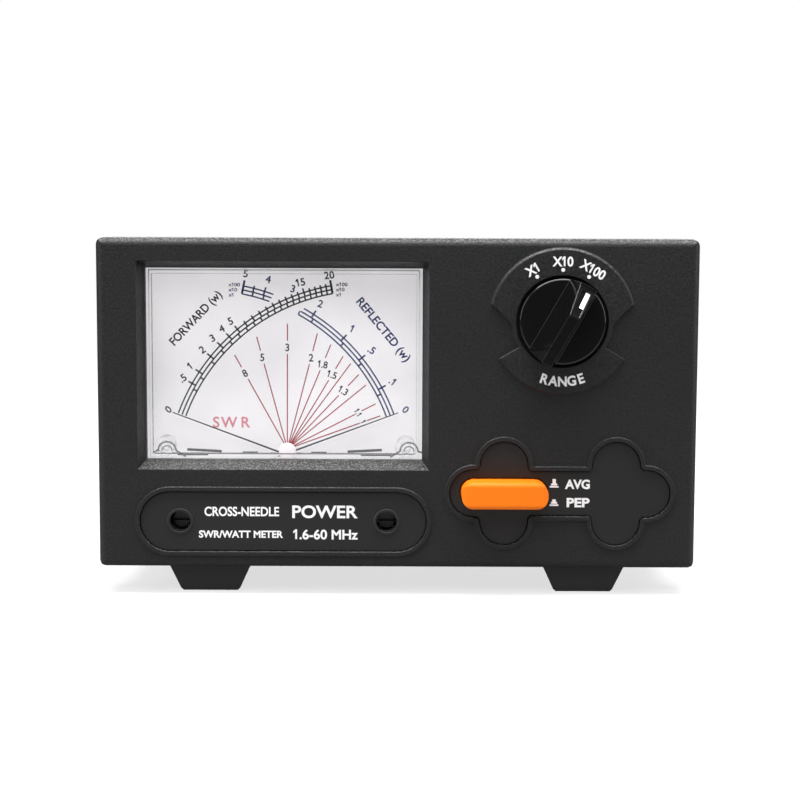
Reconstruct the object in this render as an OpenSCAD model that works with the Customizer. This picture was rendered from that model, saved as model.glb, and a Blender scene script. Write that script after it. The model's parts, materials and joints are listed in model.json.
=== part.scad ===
// Cross-needle SWR and power meter, built as it comes apart on a bench.
// X runs to the right, Y runs from the front to the back, Z is up, in millimetres.
// The origin is under the middle of the whole object, on the surface it stands on.

/* [Case] */
// Width of the moulded front panel
panel_w = 155; // [140:1:200]
// Height of the moulded front panel
panel_h = 85.5; // [84:0.5:110]
// Depth of the front panel with its skirt
panel_d = 12; // [10:0.5:14]
// Thickness of the front panel's face
face_t = 3.5; // [3.2:0.1:4]
// Thickness of the front panel's skirt
skirt_t = 2; // [1.5:0.1:3]
// Corner radius of the front panel seen from the front
corner_r = 2.3; // [1:0.1:4]
// Rounding of the front panel's front edges
edge_r = 2; // [1:0.1:3]
// Depth from the panel's face to the outside of the rear panel
body_d = 84; // [76:1:120]
// Thickness of the steel cover
cover_t = 1; // [0.8:0.1:1.5]
// Thickness of the steel chassis
chassis_t = 1.2; // [1:0.1:2]
// Thickness of the rear panel
rear_t = 1.5; // [1:0.1:2.5]
// How far the cover reaches into the panel's skirt
cover_lap = 5; // [3:0.5:6]
// Height of the chassis side flanges
flange_h = 12; // [10:1:16]

/* [Feet] */
// Height of a foot below the front panel
foot_h = 7.3; // [5:0.1:12]
// Width of a foot at its top
foot_top_w = 22; // [16:0.5:30]
// Width of a foot at its tread
foot_tread_w = 14.3; // [10:0.5:20]
// Length of a foot from front to back
foot_l = 22; // [16:1:30]
// Distance of a foot's centre from the middle
foot_x = 49.1; // [35:0.5:52]
// Gap between the panel's face and the front foot
foot_setback = 5; // [3:0.5:8]

/* [Meter window] */
// Left to right place of the window's centre
window_x = -29.5; // [-31:0.1:-29]
// Height of the window's centre above the panel's middle
window_z = 9.86; // [9:0.1:11]
// Width of the window where the cover shows
window_w = 72; // [66:0.5:73]
// Height of the window where the cover shows
window_h = 50; // [46:0.5:51]
// How much wider the recess is at the panel's face
window_flare_w = 3.3; // [1:0.1:4]
// How much higher the recess is at the panel's face
window_flare_h = 3.9; // [1:0.1:5]
// Depth of the sloping walls
window_depth = 5; // [4:0.1:6]
// Depth of the dial's face behind the panel's face
dial_depth = 13; // [12.5:0.1:14]
// Thickness of the dial
dial_t = 1; // [0.6:0.1:1.5]

/* [Meter movements] */
// Distance between the two movements' axes
pivot_gap = 42.8; // [38:0.1:46]
// Height of the axes above the panel's middle
pivot_z = -22.4; // [-23:0.1:-21.5]
// Length of a needle from its axis to its tip
needle_l = 54.6; // [50:0.1:56]
// Width of a needle at its axis
needle_w = 0.6; // [0.5:0.05:1.2]
// Width of a needle at its tip
needle_tip_w = 0.24; // [0.2:0.02:0.4]
// Angle of a needle at zero, above the horizontal
zero_angle = 20.4; // [15:0.1:24]
// Swing of a needle from zero to full scale
needle_swing = 59.5; // [50:0.5:65]
// Outer radius of a movement's steel ring
yoke_r = 11.4; // [10.5:0.1:11.4]
// Inner radius of a movement's steel ring
yoke_bore_r = 7.2; // [7:0.1:7.6]
// Radius of the core magnet
core_r = 5.3; // [5:0.1:5.4]
// Radius of the pivot pins
pivot_r = 0.4; // [0.3:0.05:0.5]
// Distance of a zero adjuster from the window's centre line
adjuster_x = 26.8; // [25:0.1:28]
// Throw of a zero adjuster's pin
adjuster_throw = 0.8; // [0.5:0.1:1]

/* [Range knob] */
// Left to right place of the knob
knob_x = 42.25; // [40:0.25:46]
// Height of the knob above the panel's middle
knob_z = 21.6; // [19:0.05:22]
// Radius of the knob's skirt
knob_r = 11.1; // [10:0.1:12]
// How far the knob stands out of the panel
knob_out = 19; // [15:0.5:24]
// Height of the knob's skirt above the panel
knob_skirt_h = 2; // [1.8:0.1:3]
// Width of the grip where it leaves the skirt
grip_base_w = 8.4; // [7:0.1:10]
// Width of the grip at its top
grip_top_w = 2.6; // [2:0.1:5]
// Angle of the pointer, clockwise from straight up
pointer_angle = 30; // [-30:30:30]
// Angle between two range positions
range_step = 30; // [24:6:36]
// Radius of the raised range plate
plate_r = 18.9; // [17:0.05:19.5]
// Height of the raised range plate
plate_h = 0.9; // [0.5:0.1:1.5]
// Radius of the range switch's shaft
shaft_r = 2; // [1.5:0.1:2]
// Radius of the range switch's threaded bush
bush_r = 3.5; // [3:0.1:4]

/* [Switch plate and button] */
// Left to right place of the left lobes' centre
lobes_x = 27.7; // [26:0.1:29]
// Distance between the two lobe centres
lobes_gap = 29.05; // [27:0.05:30]
// Height of the lobes above the panel's middle
lobes_z = -23.05; // [-23.5:0.05:-22]
// Radius of one lobe
lobe_r = 6.1; // [5.5:0.1:6.3]
// Distance of the upper and lower lobes from their centre
lobe_up = 7.3; // [7:0.1:7.6]
// Distance of the side lobes from their centre
lobe_out = 7.8; // [7:0.1:8.2]
// Half height of the bar that joins the lobes
bar_half = 5.7; // [5:0.1:6]
// Rounding of the inner corners
lobe_fillet = 1.5; // [1.5:0.1:2]
// Width of the push button's face
button_w = 22.3; // [18:0.1:24]
// Height of the push button's face
button_h = 7; // [6:0.1:9]
// How far the button stands out
button_out = 7; // [5:0.5:9]
// Travel of the push button
button_travel = 3; // [2:0.5:4]

/* [Badge plate] */
// Width of the badge plate
badge_w = 74.1; // [68:0.1:76]
// Height of the badge plate
badge_h = 15.3; // [13:0.1:16]
// Height of the badge plate's centre above the panel's middle
badge_z = -30.65; // [-31:0.05:-30]
// Radius of the holes to the zero adjusters
access_r = 2.7; // [2.5:0.1:3]
// Width of the raised rim around both plates
rim_w = 1.1; // [0.8:0.1:1.2]
// Height of the raised rim around both plates
rim_h = 0.6; // [0.3:0.1:1]
// Thickness of both inlaid plates
inlay_t = 1.2; // [1:0.1:1.5]

/* [Rear sockets] */
// Distance between the two coaxial sockets
socket_gap = 50; // [44:1:56]
// Height of the sockets above the panel's middle
socket_z = 4; // [0:1:8]
// Radius of a socket's threaded barrel
barrel_r = 7.9; // [7.5:0.1:8]
// How far a socket stands out of the rear panel
socket_out = 17.5; // [16:0.5:20]
// Side of a socket's square flange
flange_w = 25.4; // [25:0.1:26]
// Radius of a socket's centre bore
contact_r = 2; // [1.8:0.1:2.2]
// Width of a vent slot in the cover
vent_w = 3; // [2:0.5:4]
// Distance between two vent slots
vent_pitch = 8; // [6:0.5:10]
// Left to right place of the power inlet
jack_x = 56; // [52:1:60]
// Height of the power inlet above the panel's middle
jack_z = -24; // [-26:1:-20]

/* [Boards and fits] */
// Thickness of the circuit boards
board_t = 1.6; // [1:0.1:2]
// Depth of the control board behind the panel's face
board_depth = 22; // [20:0.5:26]
// Gap between a plate and its pocket
inlay_gap = 0.25; // [0.1:0.05:0.4]
// Gap around pieces that slide or turn past a wall
part_gap = 0.35; // [0.3:0.05:0.5]
// Radial clearance of a running fit
run_gap = 0.05; // [0.02:0.01:0.08]
// Gap between sheet metal pieces
sheet_gap = 0.1; // [0.05:0.05:0.2]

/* [Hidden] */

front_y = knob_out - (knob_out + body_d + socket_out) / 2;
mid_z = foot_h + panel_h / 2;
big = 400;
// How far a fillet crosses its neighbours, so that they never just touch
bite = 0.03;

cover_half_w = panel_w / 2 - skirt_t - 0.3;
cover_half_h = panel_h / 2 - skirt_t - 0.3;
inner_half_w = cover_half_w - cover_t;
flange_half_w = inner_half_w - sheet_gap;
floor_z = -cover_half_h;
lug_half_w = flange_half_w - chassis_t;
lug_t = 3.2;
lug_end = panel_d + 9;
side_screw_d = panel_d + 5;
side_screw_z = floor_z + flange_h - 4;
rear_in = body_d - rear_t;
tread_z = -panel_h / 2 - foot_h;
foot_front_d = foot_setback + foot_l / 2;
foot_front_screw_d = foot_front_d + 2;
foot_rear_d = body_d - foot_setback - foot_l / 2;
foot_step_d = panel_d + 0.3;
foot_sink = 3.5;
rear_post_w = 8;
rear_screw_x = flange_half_w - rear_post_w / 2;
rear_screw_z = cover_half_h - 8;
cover_side_z = cover_half_h - 10;
vent_front = body_d - 34;
vent_back = body_d - 12;
screw_r = 1.5;

meter_wall = 1.2;
meter_half_w = window_w / 2 + 3;
meter_top = window_z + window_h / 2 + 2.6;
meter_bottom = floor_z + chassis_t + 3.2;
meter_h = meter_top - meter_bottom;
meter_z = (meter_top + meter_bottom) / 2;
cover_front = window_depth;
tube_end = window_depth + 2;
dial_back = dial_depth + dial_t;
dial_bottom = window_z - window_h / 2 - 1.9;
dial_top = meter_top - meter_wall - 0.2;
dial_half_w = meter_half_w - meter_wall - 0.2;
case_wall = 1.8;
case_floor = dial_depth + 19.2;
case_back = case_floor + case_wall;
ear_z = 12;
ear_x = meter_half_w + 2.4;
pillar_x = window_w / 2 - 4.3;
pillar_z = window_z - window_h / 2 + 3;

pivot_x = pivot_gap / 2;
bridge_d = tube_end + 1.8;
bridge_t = 1;
lever_d = bridge_d + bridge_t;
lever_t = 0.3;
forward_d = lever_d + 0.7;
reflected_d = forward_d + 1;
needle_t = 0.35;
spring_d = reflected_d + 1;
coil_d = dial_back + 0.5;
coil_end = coil_d + 12.2;
coil_t = 0.8;
coil_half = 6.7;
coil_in = 5.6;
coil_tall = 3;
yoke_d = coil_d + 1.1;
yoke_end = coil_end - 1.3;
frame_d = coil_end + 1;
frame_t = 1.5;
lamp_back = frame_d + frame_t;
lamp_x = 12;
lamp_z = meter_top - 12;
lamp_l = 6;
lamp_r = 2.5;
lead_gap = 2.54;
lamp_board_half_w = 26;
lamp_board_half_h = 5;
post_ring_r = (yoke_r + yoke_bore_r) / 2;
post_turn = 10;
adjuster_dx = adjuster_x - pivot_x;
adjuster_dz = badge_z - pivot_z;
adjuster_l = sqrt(pow(adjuster_dx, 2) + pow(adjuster_dz, 2));
adjuster_angle = atan2(adjuster_dz, -adjuster_dx);
stud_turn = 150;
stud_l = 4.4;
stud_r = 0.3;
spring_w = 0.12;
spring_turns = 4;
spring_steps = 24 * spring_turns;
spring_r0 = 0.7;
spring_r1 = stud_l - stud_r - spring_w;
jewel_r = 1.5;

pocket_r = knob_r + 0.75;
ring_r = pocket_r + 1.1;
wing_angle = 14;
root_angle = -8;
foot_angle = -31;
notch_r = 30;
pocket_d = 2;
knob_base = 0.8;
nose_drop = 6;
nose_z = 2.5;
nose_l = norm([nose_drop, knob_r - 1 - nose_z]);
nose_slope = atan2(nose_drop, knob_r - 1 - nose_z);
groove_w = 2.4;
groove_deep = 0.5;

button_r = button_h / 2 - 0.1;
button_in = face_t + 0.3;
button_edge_r = 1.2;
button_flange = 1.2;
switch_front = button_in + button_flange + button_travel + 2.5;
switch_z = lobes_z + 0.25;
switch_x = lobes_x;

board_x0 = window_x + meter_half_w + 5;
board_x1 = lug_half_w - lug_t - 1;
board_half_h = cover_half_h - 4;
board_mid_x = (board_x0 + board_x1) / 2;
board_back = board_depth + board_t;
board_screw_x = (board_x1 - board_x0) / 2 - 3.5;
board_screw_z = board_half_h - 3.5;
trim_x = board_mid_x + 14;
forward_trim_z = -12;
reflected_trim_z = -22;
trim_half = 3.5;
trim_rotor_r = 2.1;
pin_ring_r = 10;

box_wall = 0.6;
box_half_w = socket_gap / 2 + 18;
box_half_h = 17;
box_d = 28;
box_back = rear_in;
box_front = box_back - box_d;
rod_d = box_front + 14;
socket_screw_in = 9.1;

// Moves children to a place given from the panel's middle, with depth behind its face
module place(x, d, z) translate([x, front_y + d, mid_z + z]) children();

// Extrudes an outline drawn in X and Z from one depth to another
module slab(d0, d1)
  translate([0, front_y + d1, mid_z])
    rotate([90, 0, 0]) linear_extrude(height = d1 - d0) children();

// A round bar along Y
module bar(x, z, r, d0, d1) place(x, d1, z) rotate([90, 0, 0]) cylinder(h = d1 - d0, r = r, $fn = 48);

// A block given by its X span, depth span and Z span
module block(x0, x1, d0, d1, z0, z1) place(x0, d0, z0) cube([x1 - x0, d1 - d0, z1 - z0]);

// An upright outline with round corners
module round_rect(w, h, r) {
  square([w - 2 * r, h], center = true);
  square([w, h - 2 * r], center = true);
  for (x = [-1, 1], z = [-1, 1])
    translate([x * (w / 2 - r), z * (h / 2 - r)]) circle(r = r, $fn = 48);
}

// A stadium outline
module stadium(w, h) {
  square([w - h, h], center = true);
  for (x = [-1, 1]) translate([x * (w - h) / 2, 0]) circle(d = h, $fn = 96);
}

// A side profile, square at the back and rounded at the front
module soft_side(h, r, d) {
  translate([r, -h / 2]) square([d - r, h]);
  translate([0, -h / 2 + r]) square([d, h - 2 * r]);
  for (z = [-1, 1]) translate([r, z * (h / 2 - r)]) circle(r = r, $fn = 48);
}

// A block with round corners and round front edges, from depth zero backwards
module soft_block(w, h, d, r, front_r) intersection() {
  rotate([90, 0, 0]) mirror([0, 0, 1]) linear_extrude(height = d) round_rect(w, h, r);
  translate([-w / 2 - 1, 0, 0]) rotate([90, 0, 90]) linear_extrude(height = w + 2) soft_side(h, front_r, d);
  translate([0, 0, -h / 2 - 1])
    linear_extrude(height = h + 2) rotate(90) mirror([0, 1]) soft_side(w, front_r, d);
}

// Where a circle about a and a circle about b meet, on the left of the way from a to b
function meet(a, ra, b, rb) =
  let (
    v = b - a,
    l = norm(v),
    u = v / l,
    t = (ra * ra - rb * rb + l * l) / (2 * l),
    s = sqrt(ra * ra - t * t)
  ) a + t * u + s * [-u[1], u[0]];

// A patch that rounds the inner corner between circles of radius r about a and b
module corner_patch(a, b, r, f) {
  p = meet(b, r + f - bite, a, r + f - bite);
  difference() {
    polygon([[0, 0], a, p, b]);
    translate(p) circle(r = f, $fn = 32);
  }
}

// A patch that rounds the inner corner between the upper lobe and the joining bar
module bar_patch(r, h, f) {
  z = h + f - bite;
  x = sqrt(pow(r + f - bite, 2) - pow(z - lobe_up, 2));
  difference() {
    polygon([[0, 0], [0, lobe_up], [-x, z], [-x, 0]]);
    translate([-x, z]) circle(r = f, $fn = 32);
  }
}

// The outline of the switch plate, grown by g all round: two groups of three lobes and a bar
module lobes(g) {
  r = lobe_r + g;
  h = bar_half + g;
  f = lobe_fillet - g;
  translate([lobes_x + lobes_gap / 2, lobes_z]) {
    square([lobes_gap + 1, 2 * h], center = true);
    for (side = [-1, 1]) {
      translate([side * (lobes_gap / 2 + lobe_out), 0]) circle(r = r, $fn = 96);
      for (z = [-1, 1]) translate([side * lobes_gap / 2, z * lobe_up]) circle(r = r, $fn = 96);
      for (z = [0, 1])
        mirror([(1 - side) / 2, 0]) translate([lobes_gap / 2, 0]) mirror([0, z]) {
          corner_patch([lobe_out, 0], [0, lobe_up], r, f);
          bar_patch(r, h, f);
        }
    }
  }
}

module badge_outline(g) translate([window_x, badge_z]) stadium(badge_w + 2 * g, badge_h + 2 * g);

module button_outline(g)
  translate([switch_x, switch_z]) round_rect(button_w + 2 * g, button_h + 2 * g, button_r + g);

module window_outline(g)
  translate([window_x, window_z]) square([window_w + 2 * g, window_h + 2 * g], center = true);

// The sloping recess in front of the meter
module window_flare() intersection() {
  place(window_x, 0, window_z - big / 2) linear_extrude(height = big) polygon([
    [-window_w / 2 - window_flare_w / 2, 0], [window_w / 2 + window_flare_w / 2, 0],
    [window_w / 2, window_depth], [-window_w / 2, window_depth]
  ]);
  place(window_x - big / 2, 0, window_z) rotate([90, 0, 90]) linear_extrude(height = big) polygon([
    [0, -window_h / 2 - window_flare_h / 2], [0, window_h / 2 + window_flare_h / 2],
    [window_depth, window_h / 2], [window_depth, -window_h / 2]
  ]);
}

// The raised plate around the knob: a wide upper part with hollowed flanks and a lower part
module range_plate_outline() {
  wing = plate_r * [cos(wing_angle), sin(wing_angle)];
  root = (ring_r - 0.5) * [cos(root_angle), sin(root_angle)];
  notch = meet(wing, notch_r, root, notch_r);
  difference() {
    intersection() {
      circle(r = plate_r, $fn = 128);
      translate([-plate_r, root[1]]) square(2 * plate_r);
    }
    for (side = [0, 1]) mirror([side, 0]) translate(notch) circle(r = notch_r, $fn = 128);
  }
  intersection() {
    circle(r = plate_r, $fn = 128);
    polygon([[0, 0], 2 * plate_r * [cos(foot_angle), sin(foot_angle)], [0, -3 * plate_r],
      2 * plate_r * [-cos(foot_angle), sin(foot_angle)]]);
  }
}

// The raised plate's body, with a bevelled rim
module range_plate() intersection() {
  place(knob_x, 0, knob_z) rotate([90, 0, 0]) rotate_extrude($fn = 128) polygon([
    [0, -0.5], [plate_r, -0.5], [plate_r, plate_h - 0.5], [plate_r - 0.5, plate_h], [0, plate_h]
  ]);
  translate([knob_x, 0, knob_z]) slab(-plate_h, 0.5) range_plate_outline();
}

module front_panel() color([0.16, 0.16, 0.17]) difference() {
  union() {
    difference() {
      place(0, 0, 0) soft_block(panel_w, panel_h, panel_d, corner_r, edge_r);
      slab(face_t, panel_d + 1) round_rect(panel_w - 2 * skirt_t, panel_h - 2 * skirt_t, 1);
    }
    range_plate();
    bar(knob_x, knob_z, ring_r, -plate_h, 1);
    slab(-rim_h, 0.5) lobes(inlay_gap + rim_w);
    slab(-rim_h, 0.5) badge_outline(inlay_gap + rim_w);
    slab(face_t - 0.5, tube_end) window_outline(2);
    for (x = [-1, 1], z = [-1, 1]) {
      bar(window_x + x * ear_x, z * ear_z, 2.3, face_t - 0.5, dial_back);
      bar(board_mid_x + x * board_screw_x, z * board_screw_z, 3, face_t - 0.5, board_depth);
      panel_lug(x, z);
    }
  }
  window_flare();
  slab(window_depth - 0.01, tube_end + 1) window_outline(0);
  bar(knob_x, knob_z, pocket_r, -plate_h - 1, pocket_d);
  bar(knob_x, knob_z, bush_r + sheet_gap, 0, face_t + 1);
  slab(-rim_h - 1, inlay_t) lobes(inlay_gap);
  slab(-rim_h - 1, inlay_t) badge_outline(inlay_gap);
  slab(0, face_t + 1) button_outline(part_gap);
  for (x = [-1, 1], z = [-1, 1]) {
    bar(window_x + x * adjuster_x, badge_z, access_r, 0, face_t + 1);
    bar(window_x + x * ear_x, z * ear_z, 1, dial_back - 6, dial_back + 1);
    bar(board_mid_x + x * board_screw_x, z * board_screw_z, 1.2, board_depth - 7, board_depth + 1);
    lug_hole(x, z);
  }
}

// A tongue on the panel that the cover's side screws go into
module panel_lug(x, z) {
  out = z < 0 ? lug_half_w : inner_half_w - sheet_gap;
  at_z = z < 0 ? side_screw_z : cover_side_z;
  block(min(x * out, x * (lug_half_w - lug_t)), max(x * out, x * (lug_half_w - lug_t)),
    face_t - 0.5, lug_end, at_z - 3.5, at_z + 3.5);
}

module lug_hole(x, z) {
  at_z = z < 0 ? side_screw_z : cover_side_z;
  place(x * (inner_half_w - 2), side_screw_d, at_z) rotate([0, 90, 0])
    cylinder(h = 8, r = screw_r, center = true, $fn = 32);
}

module switch_plate() color([0.19, 0.19, 0.2]) difference() {
  slab(0.2, inlay_t) lobes(0);
  slab(-1, inlay_t + 1) button_outline(part_gap);
}

module badge_plate() color([0.19, 0.19, 0.2]) difference() {
  union() {
    slab(0.2, inlay_t) badge_outline(0);
    for (x = [-1, 1]) bar(window_x + x * adjuster_x, badge_z, access_r + 0.6, -0.2, inlay_t);
  }
  for (x = [-1, 1]) bar(window_x + x * adjuster_x, badge_z, access_r, -1, inlay_t + 1);
}

// Runs children for the left and right side screws near the panel, upper and lower, and the rear ones
module side_screw_places() {
  for (x = [-1, 1]) {
    place(x * cover_half_w, side_screw_d, side_screw_z) rotate([0, x * 90, 0]) children();
    place(x * cover_half_w, side_screw_d, cover_side_z) rotate([0, x * 90, 0]) children();
    place(x * cover_half_w, rear_in - 14, side_screw_z) rotate([0, x * 90, 0]) children();
  }
}

module rear_screw_places()
  for (x = [-1, 1], z = [-1, 1])
    place(x * rear_screw_x, body_d, z * rear_screw_z) rotate([-90, 0, 0]) children();

// A pan head screw, head up, its seat at the origin
module pan_screw(l, r) {
  difference() {
    union() {
      translate([0, 0, -l]) cylinder(h = l, r = r, $fn = 32);
      cylinder(h = 1.2, r = 1.9 * r, $fn = 48);
      translate([0, 0, 1.2]) cylinder(h = 0.7, r1 = 1.9 * r, r2 = 1.3 * r, $fn = 48);
    }
    for (a = [0, 90]) rotate(a) translate([-r, -0.25, 0.8]) cube([2 * r, 0.5, 2]);
  }
}

module top_cover() color([0.13, 0.13, 0.14]) difference() {
  slab(panel_d - cover_lap, rear_in) difference() {
    round_rect(2 * cover_half_w, 2 * cover_half_h, 2);
    round_rect(2 * inner_half_w, 2 * (cover_half_h - cover_t), 1);
    translate([-inner_half_w, -cover_half_h - 1]) square([2 * inner_half_w, cover_half_h]);
  }
  side_screw_places() cylinder(h = 8, r = screw_r + 0.1, center = true, $fn = 32);
  for (i = [-5:5])
    block(i * vent_pitch - vent_w / 2, i * vent_pitch + vent_w / 2, vent_front, vent_back,
      cover_half_h - 3, cover_half_h + 1);
}

module chassis() color([0.62, 0.63, 0.65]) difference() {
  union() {
    block(-flange_half_w, flange_half_w, panel_d - cover_lap, rear_in, floor_z, floor_z + chassis_t);
    for (x = [-1, 1]) {
      block(min(x * flange_half_w, x * lug_half_w), max(x * flange_half_w, x * lug_half_w),
        panel_d - cover_lap, rear_in, floor_z, floor_z + flange_h);
      block(x * rear_screw_x - rear_post_w / 2, x * rear_screw_x + rear_post_w / 2,
        rear_in - chassis_t, rear_in, floor_z, rear_screw_z + 4);
    }
  }
  side_screw_places() cylinder(h = 8, r = screw_r, center = true, $fn = 32);
  rear_screw_places() cylinder(h = 12, r = screw_r, center = true, $fn = 32);
  foot_places() cylinder(h = 20, r = screw_r, center = true, $fn = 32);
}

module rear_panel() color([0.15, 0.15, 0.16]) difference() {
  slab(rear_in, body_d) round_rect(2 * cover_half_w, 2 * cover_half_h, 2);
  rear_screw_places() cylinder(h = 8, r = screw_r + 0.1, center = true, $fn = 32);
  for (x = [-1, 1]) bar(x * socket_gap / 2, socket_z, barrel_r - 0.4, rear_in - 1, body_d + 1);
  socket_screw_places() cylinder(h = 30, r = screw_r + 0.1, center = true, $fn = 32);
  bar(jack_x, jack_z, 4.1, rear_in - 1, body_d + 1);
}

// Runs children at the four foot screws, Z up at the chassis floor
module foot_places()
  for (x = [-1, 1], d = [foot_front_screw_d, foot_rear_d])
    place(x * foot_x, d, floor_z) children();

// One foot; the front feet reach under the panel's skirt
module foot(x, d, front) difference() {
  intersection() {
    slab(d - foot_l / 2, d + foot_l / 2) translate([x, 0]) polygon([
      [-foot_tread_w / 2, tread_z], [foot_tread_w / 2, tread_z], [foot_tread_w / 2 + 0.7, tread_z + 0.7],
      [foot_top_w / 2 - 0.6, -panel_h / 2 - 1], [foot_top_w / 2, -panel_h / 2], [foot_top_w / 2, floor_z],
      [-foot_top_w / 2, floor_z], [-foot_top_w / 2, -panel_h / 2], [-foot_top_w / 2 + 0.6, -panel_h / 2 - 1],
      [-foot_tread_w / 2 - 0.7, tread_z + 0.7]
    ]);
    place(x - foot_top_w, d, 0) rotate([90, 0, 90]) linear_extrude(height = 2 * foot_top_w) polygon([
      [-foot_l / 2, floor_z], [foot_l / 2, floor_z], [foot_l / 2, -panel_h / 2],
      [foot_l / 2 - 1, tread_z], [-foot_l / 2 + 1, tread_z], [-foot_l / 2, -panel_h / 2]
    ]);
  }
  if (front) block(x - foot_top_w, x + foot_top_w, 0, foot_step_d, -panel_h / 2, 0);
  place(x, front ? foot_front_screw_d : d, floor_z)
    cylinder(h = 30, r = screw_r + 0.2, center = true, $fn = 32);
  place(x, front ? foot_front_screw_d : d, tread_z - 1) cylinder(h = foot_sink + 1, r = 3.4, $fn = 48);
}

module foot_color() color([0.12, 0.12, 0.12]) children();
module foot_front_left() foot_color() foot(-foot_x, foot_front_d, true);
module foot_front_right() foot_color() foot(foot_x, foot_front_d, true);
module foot_rear_left() foot_color() foot(-foot_x, foot_rear_d, false);
module foot_rear_right() foot_color() foot(foot_x, foot_rear_d, false);

module foot_screws() color([0.7, 0.7, 0.72])
  for (x = [-1, 1], d = [foot_front_screw_d, foot_rear_d])
    place(x * foot_x, d, tread_z + foot_sink) rotate([180, 0, 0])
      pan_screw(floor_z + chassis_t + 1.5 - tread_z - foot_sink, screw_r);

module case_screws() color([0.1, 0.1, 0.1]) {
  side_screw_places() pan_screw(6, screw_r);
  rear_screw_places() pan_screw(4, screw_r);
}

module panel_screws() color([0.7, 0.7, 0.72])
  for (x = [-1, 1], z = [-1, 1])
    place(board_mid_x + x * board_screw_x, board_back, z * board_screw_z)
      rotate([-90, 0, 0]) pan_screw(7, 1.2);

// The clear cover: a window block that fills the recess and a wider body behind the panel
module meter_cover() color([0.85, 0.9, 0.92, 0.35]) difference() {
  union() {
    slab(cover_front, tube_end + meter_wall) window_outline(-0.3);
    translate([window_x, 0, 0]) slab(tube_end, dial_back) translate([0, meter_z])
      square([2 * meter_half_w, meter_h], center = true);
  }
  difference() {
    union() {
      slab(cover_front + meter_wall, dial_back + 1) window_outline(-0.3 - meter_wall);
      translate([window_x, 0, 0]) slab(tube_end + meter_wall, dial_back + 1)
        translate([0, meter_z]) square([2 * (meter_half_w - meter_wall), meter_h - 2 * meter_wall], center = true);
    }
    for (x = [-1, 1]) bar(window_x + x * pillar_x, pillar_z, 2.6, cover_front, dial_depth - 0.1);
  }
  for (x = [-1, 1]) {
    bar(window_x + x * pillar_x, pillar_z, 1.4, cover_front + meter_wall, dial_depth + 1);
    bar(window_x + x * adjuster_x, badge_z, jewel_r + run_gap, tube_end - 1, tube_end + meter_wall + 1);
  }
}

module meter_case() color([0.08, 0.08, 0.08]) {
  difference() {
    union() {
      translate([window_x, 0, 0]) slab(dial_back, case_back) translate([0, meter_z])
        square([2 * meter_half_w, meter_h], center = true);
      for (x = [-1, 1], z = [-1, 1])
        block(window_x + x * ear_x - 2.4, window_x + x * ear_x + 2.4, dial_back, dial_back + 2.5,
          z * ear_z - 3.5, z * ear_z + 3.5);
    }
    translate([window_x, 0, 0]) slab(dial_back - 1, case_floor) translate([0, meter_z])
      square([2 * (meter_half_w - case_wall), meter_h - 2 * case_wall], center = true);
    for (x = [-1, 1], z = [-1, 1]) bar(window_x + x * ear_x, z * ear_z, 1.3, dial_back - 1, dial_back + 3);
    bar(window_x, lamp_z, 3, case_floor - 1, case_back + 1);
  }
  for (x = [-1, 1]) {
    bar(window_x + x * pivot_x, pivot_z, 4, frame_d + frame_t + 0.4, case_floor + 0.5);
    for (a = [-1, 1])
      bar(window_x + x * pivot_x + a * 7.5, pivot_z, 2, frame_d + frame_t, case_floor + 0.5);
    bar(window_x + x * 20, lamp_z, 2, lamp_back, case_floor + 0.5);
  }
}

module meter_screws() color([0.7, 0.7, 0.72])
  for (x = [-1, 1], z = [-1, 1])
    place(window_x + x * ear_x, dial_back + 2.5, z * ear_z) rotate([-90, 0, 0]) pan_screw(8, 1);

module dial_plate() color([0.97, 0.96, 0.98])
  translate([window_x, 0, 0]) slab(dial_depth, dial_back)
    translate([0, (dial_top + dial_bottom) / 2]) square([2 * dial_half_w, dial_top - dial_bottom], center = true);

module lamp_board() color([0.1, 0.4, 0.2]) difference() {
  block(window_x - lamp_board_half_w, window_x + lamp_board_half_w, lamp_back - board_t, lamp_back,
    lamp_z - lamp_board_half_h, lamp_z + lamp_board_half_h);
  for (x = [-1, 1], p = [-1, 1])
    bar(window_x + x * lamp_x + p * lead_gap / 2, lamp_z, 0.4, lamp_back - 6, lamp_back + 1);
}

module lamps() color([0.95, 0.95, 0.85])
  for (x = [-1, 1]) {
    place(window_x + x * lamp_x, lamp_back - board_t - lamp_l, lamp_z) sphere(r = lamp_r, $fn = 48);
    bar(window_x + x * lamp_x, lamp_z, lamp_r, lamp_back - board_t - lamp_l, lamp_back - board_t - 0.5);
    bar(window_x + x * lamp_x, lamp_z, lamp_r + 0.4, lamp_back - board_t - 1, lamp_back - board_t);
    for (p = [-1, 1])
      bar(window_x + x * lamp_x + p * lead_gap / 2, lamp_z, 0.3, lamp_back - board_t - 0.5, lamp_back + 1);
  }

// Runs children at a movement's axis with the needle at zero along +X; side 1 is the forward movement
module movement(side) translate([window_x + side * pivot_x, front_y, mid_z + pivot_z])
  mirror([(1 + side) / 2, 0, 0]) children();

// A bar along the movement's axis, in its own frame
module axle(x, z, r, d0, d1)
  translate([x, d1, z]) rotate([90, 0, 0]) cylinder(h = d1 - d0, r = r, $fn = 48);

// Extrudes an outline along the movement's axis, in its own frame
module sheet(d0, d1) translate([0, d1, 0]) rotate([90, 0, 0]) linear_extrude(height = d1 - d0) children();

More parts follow.
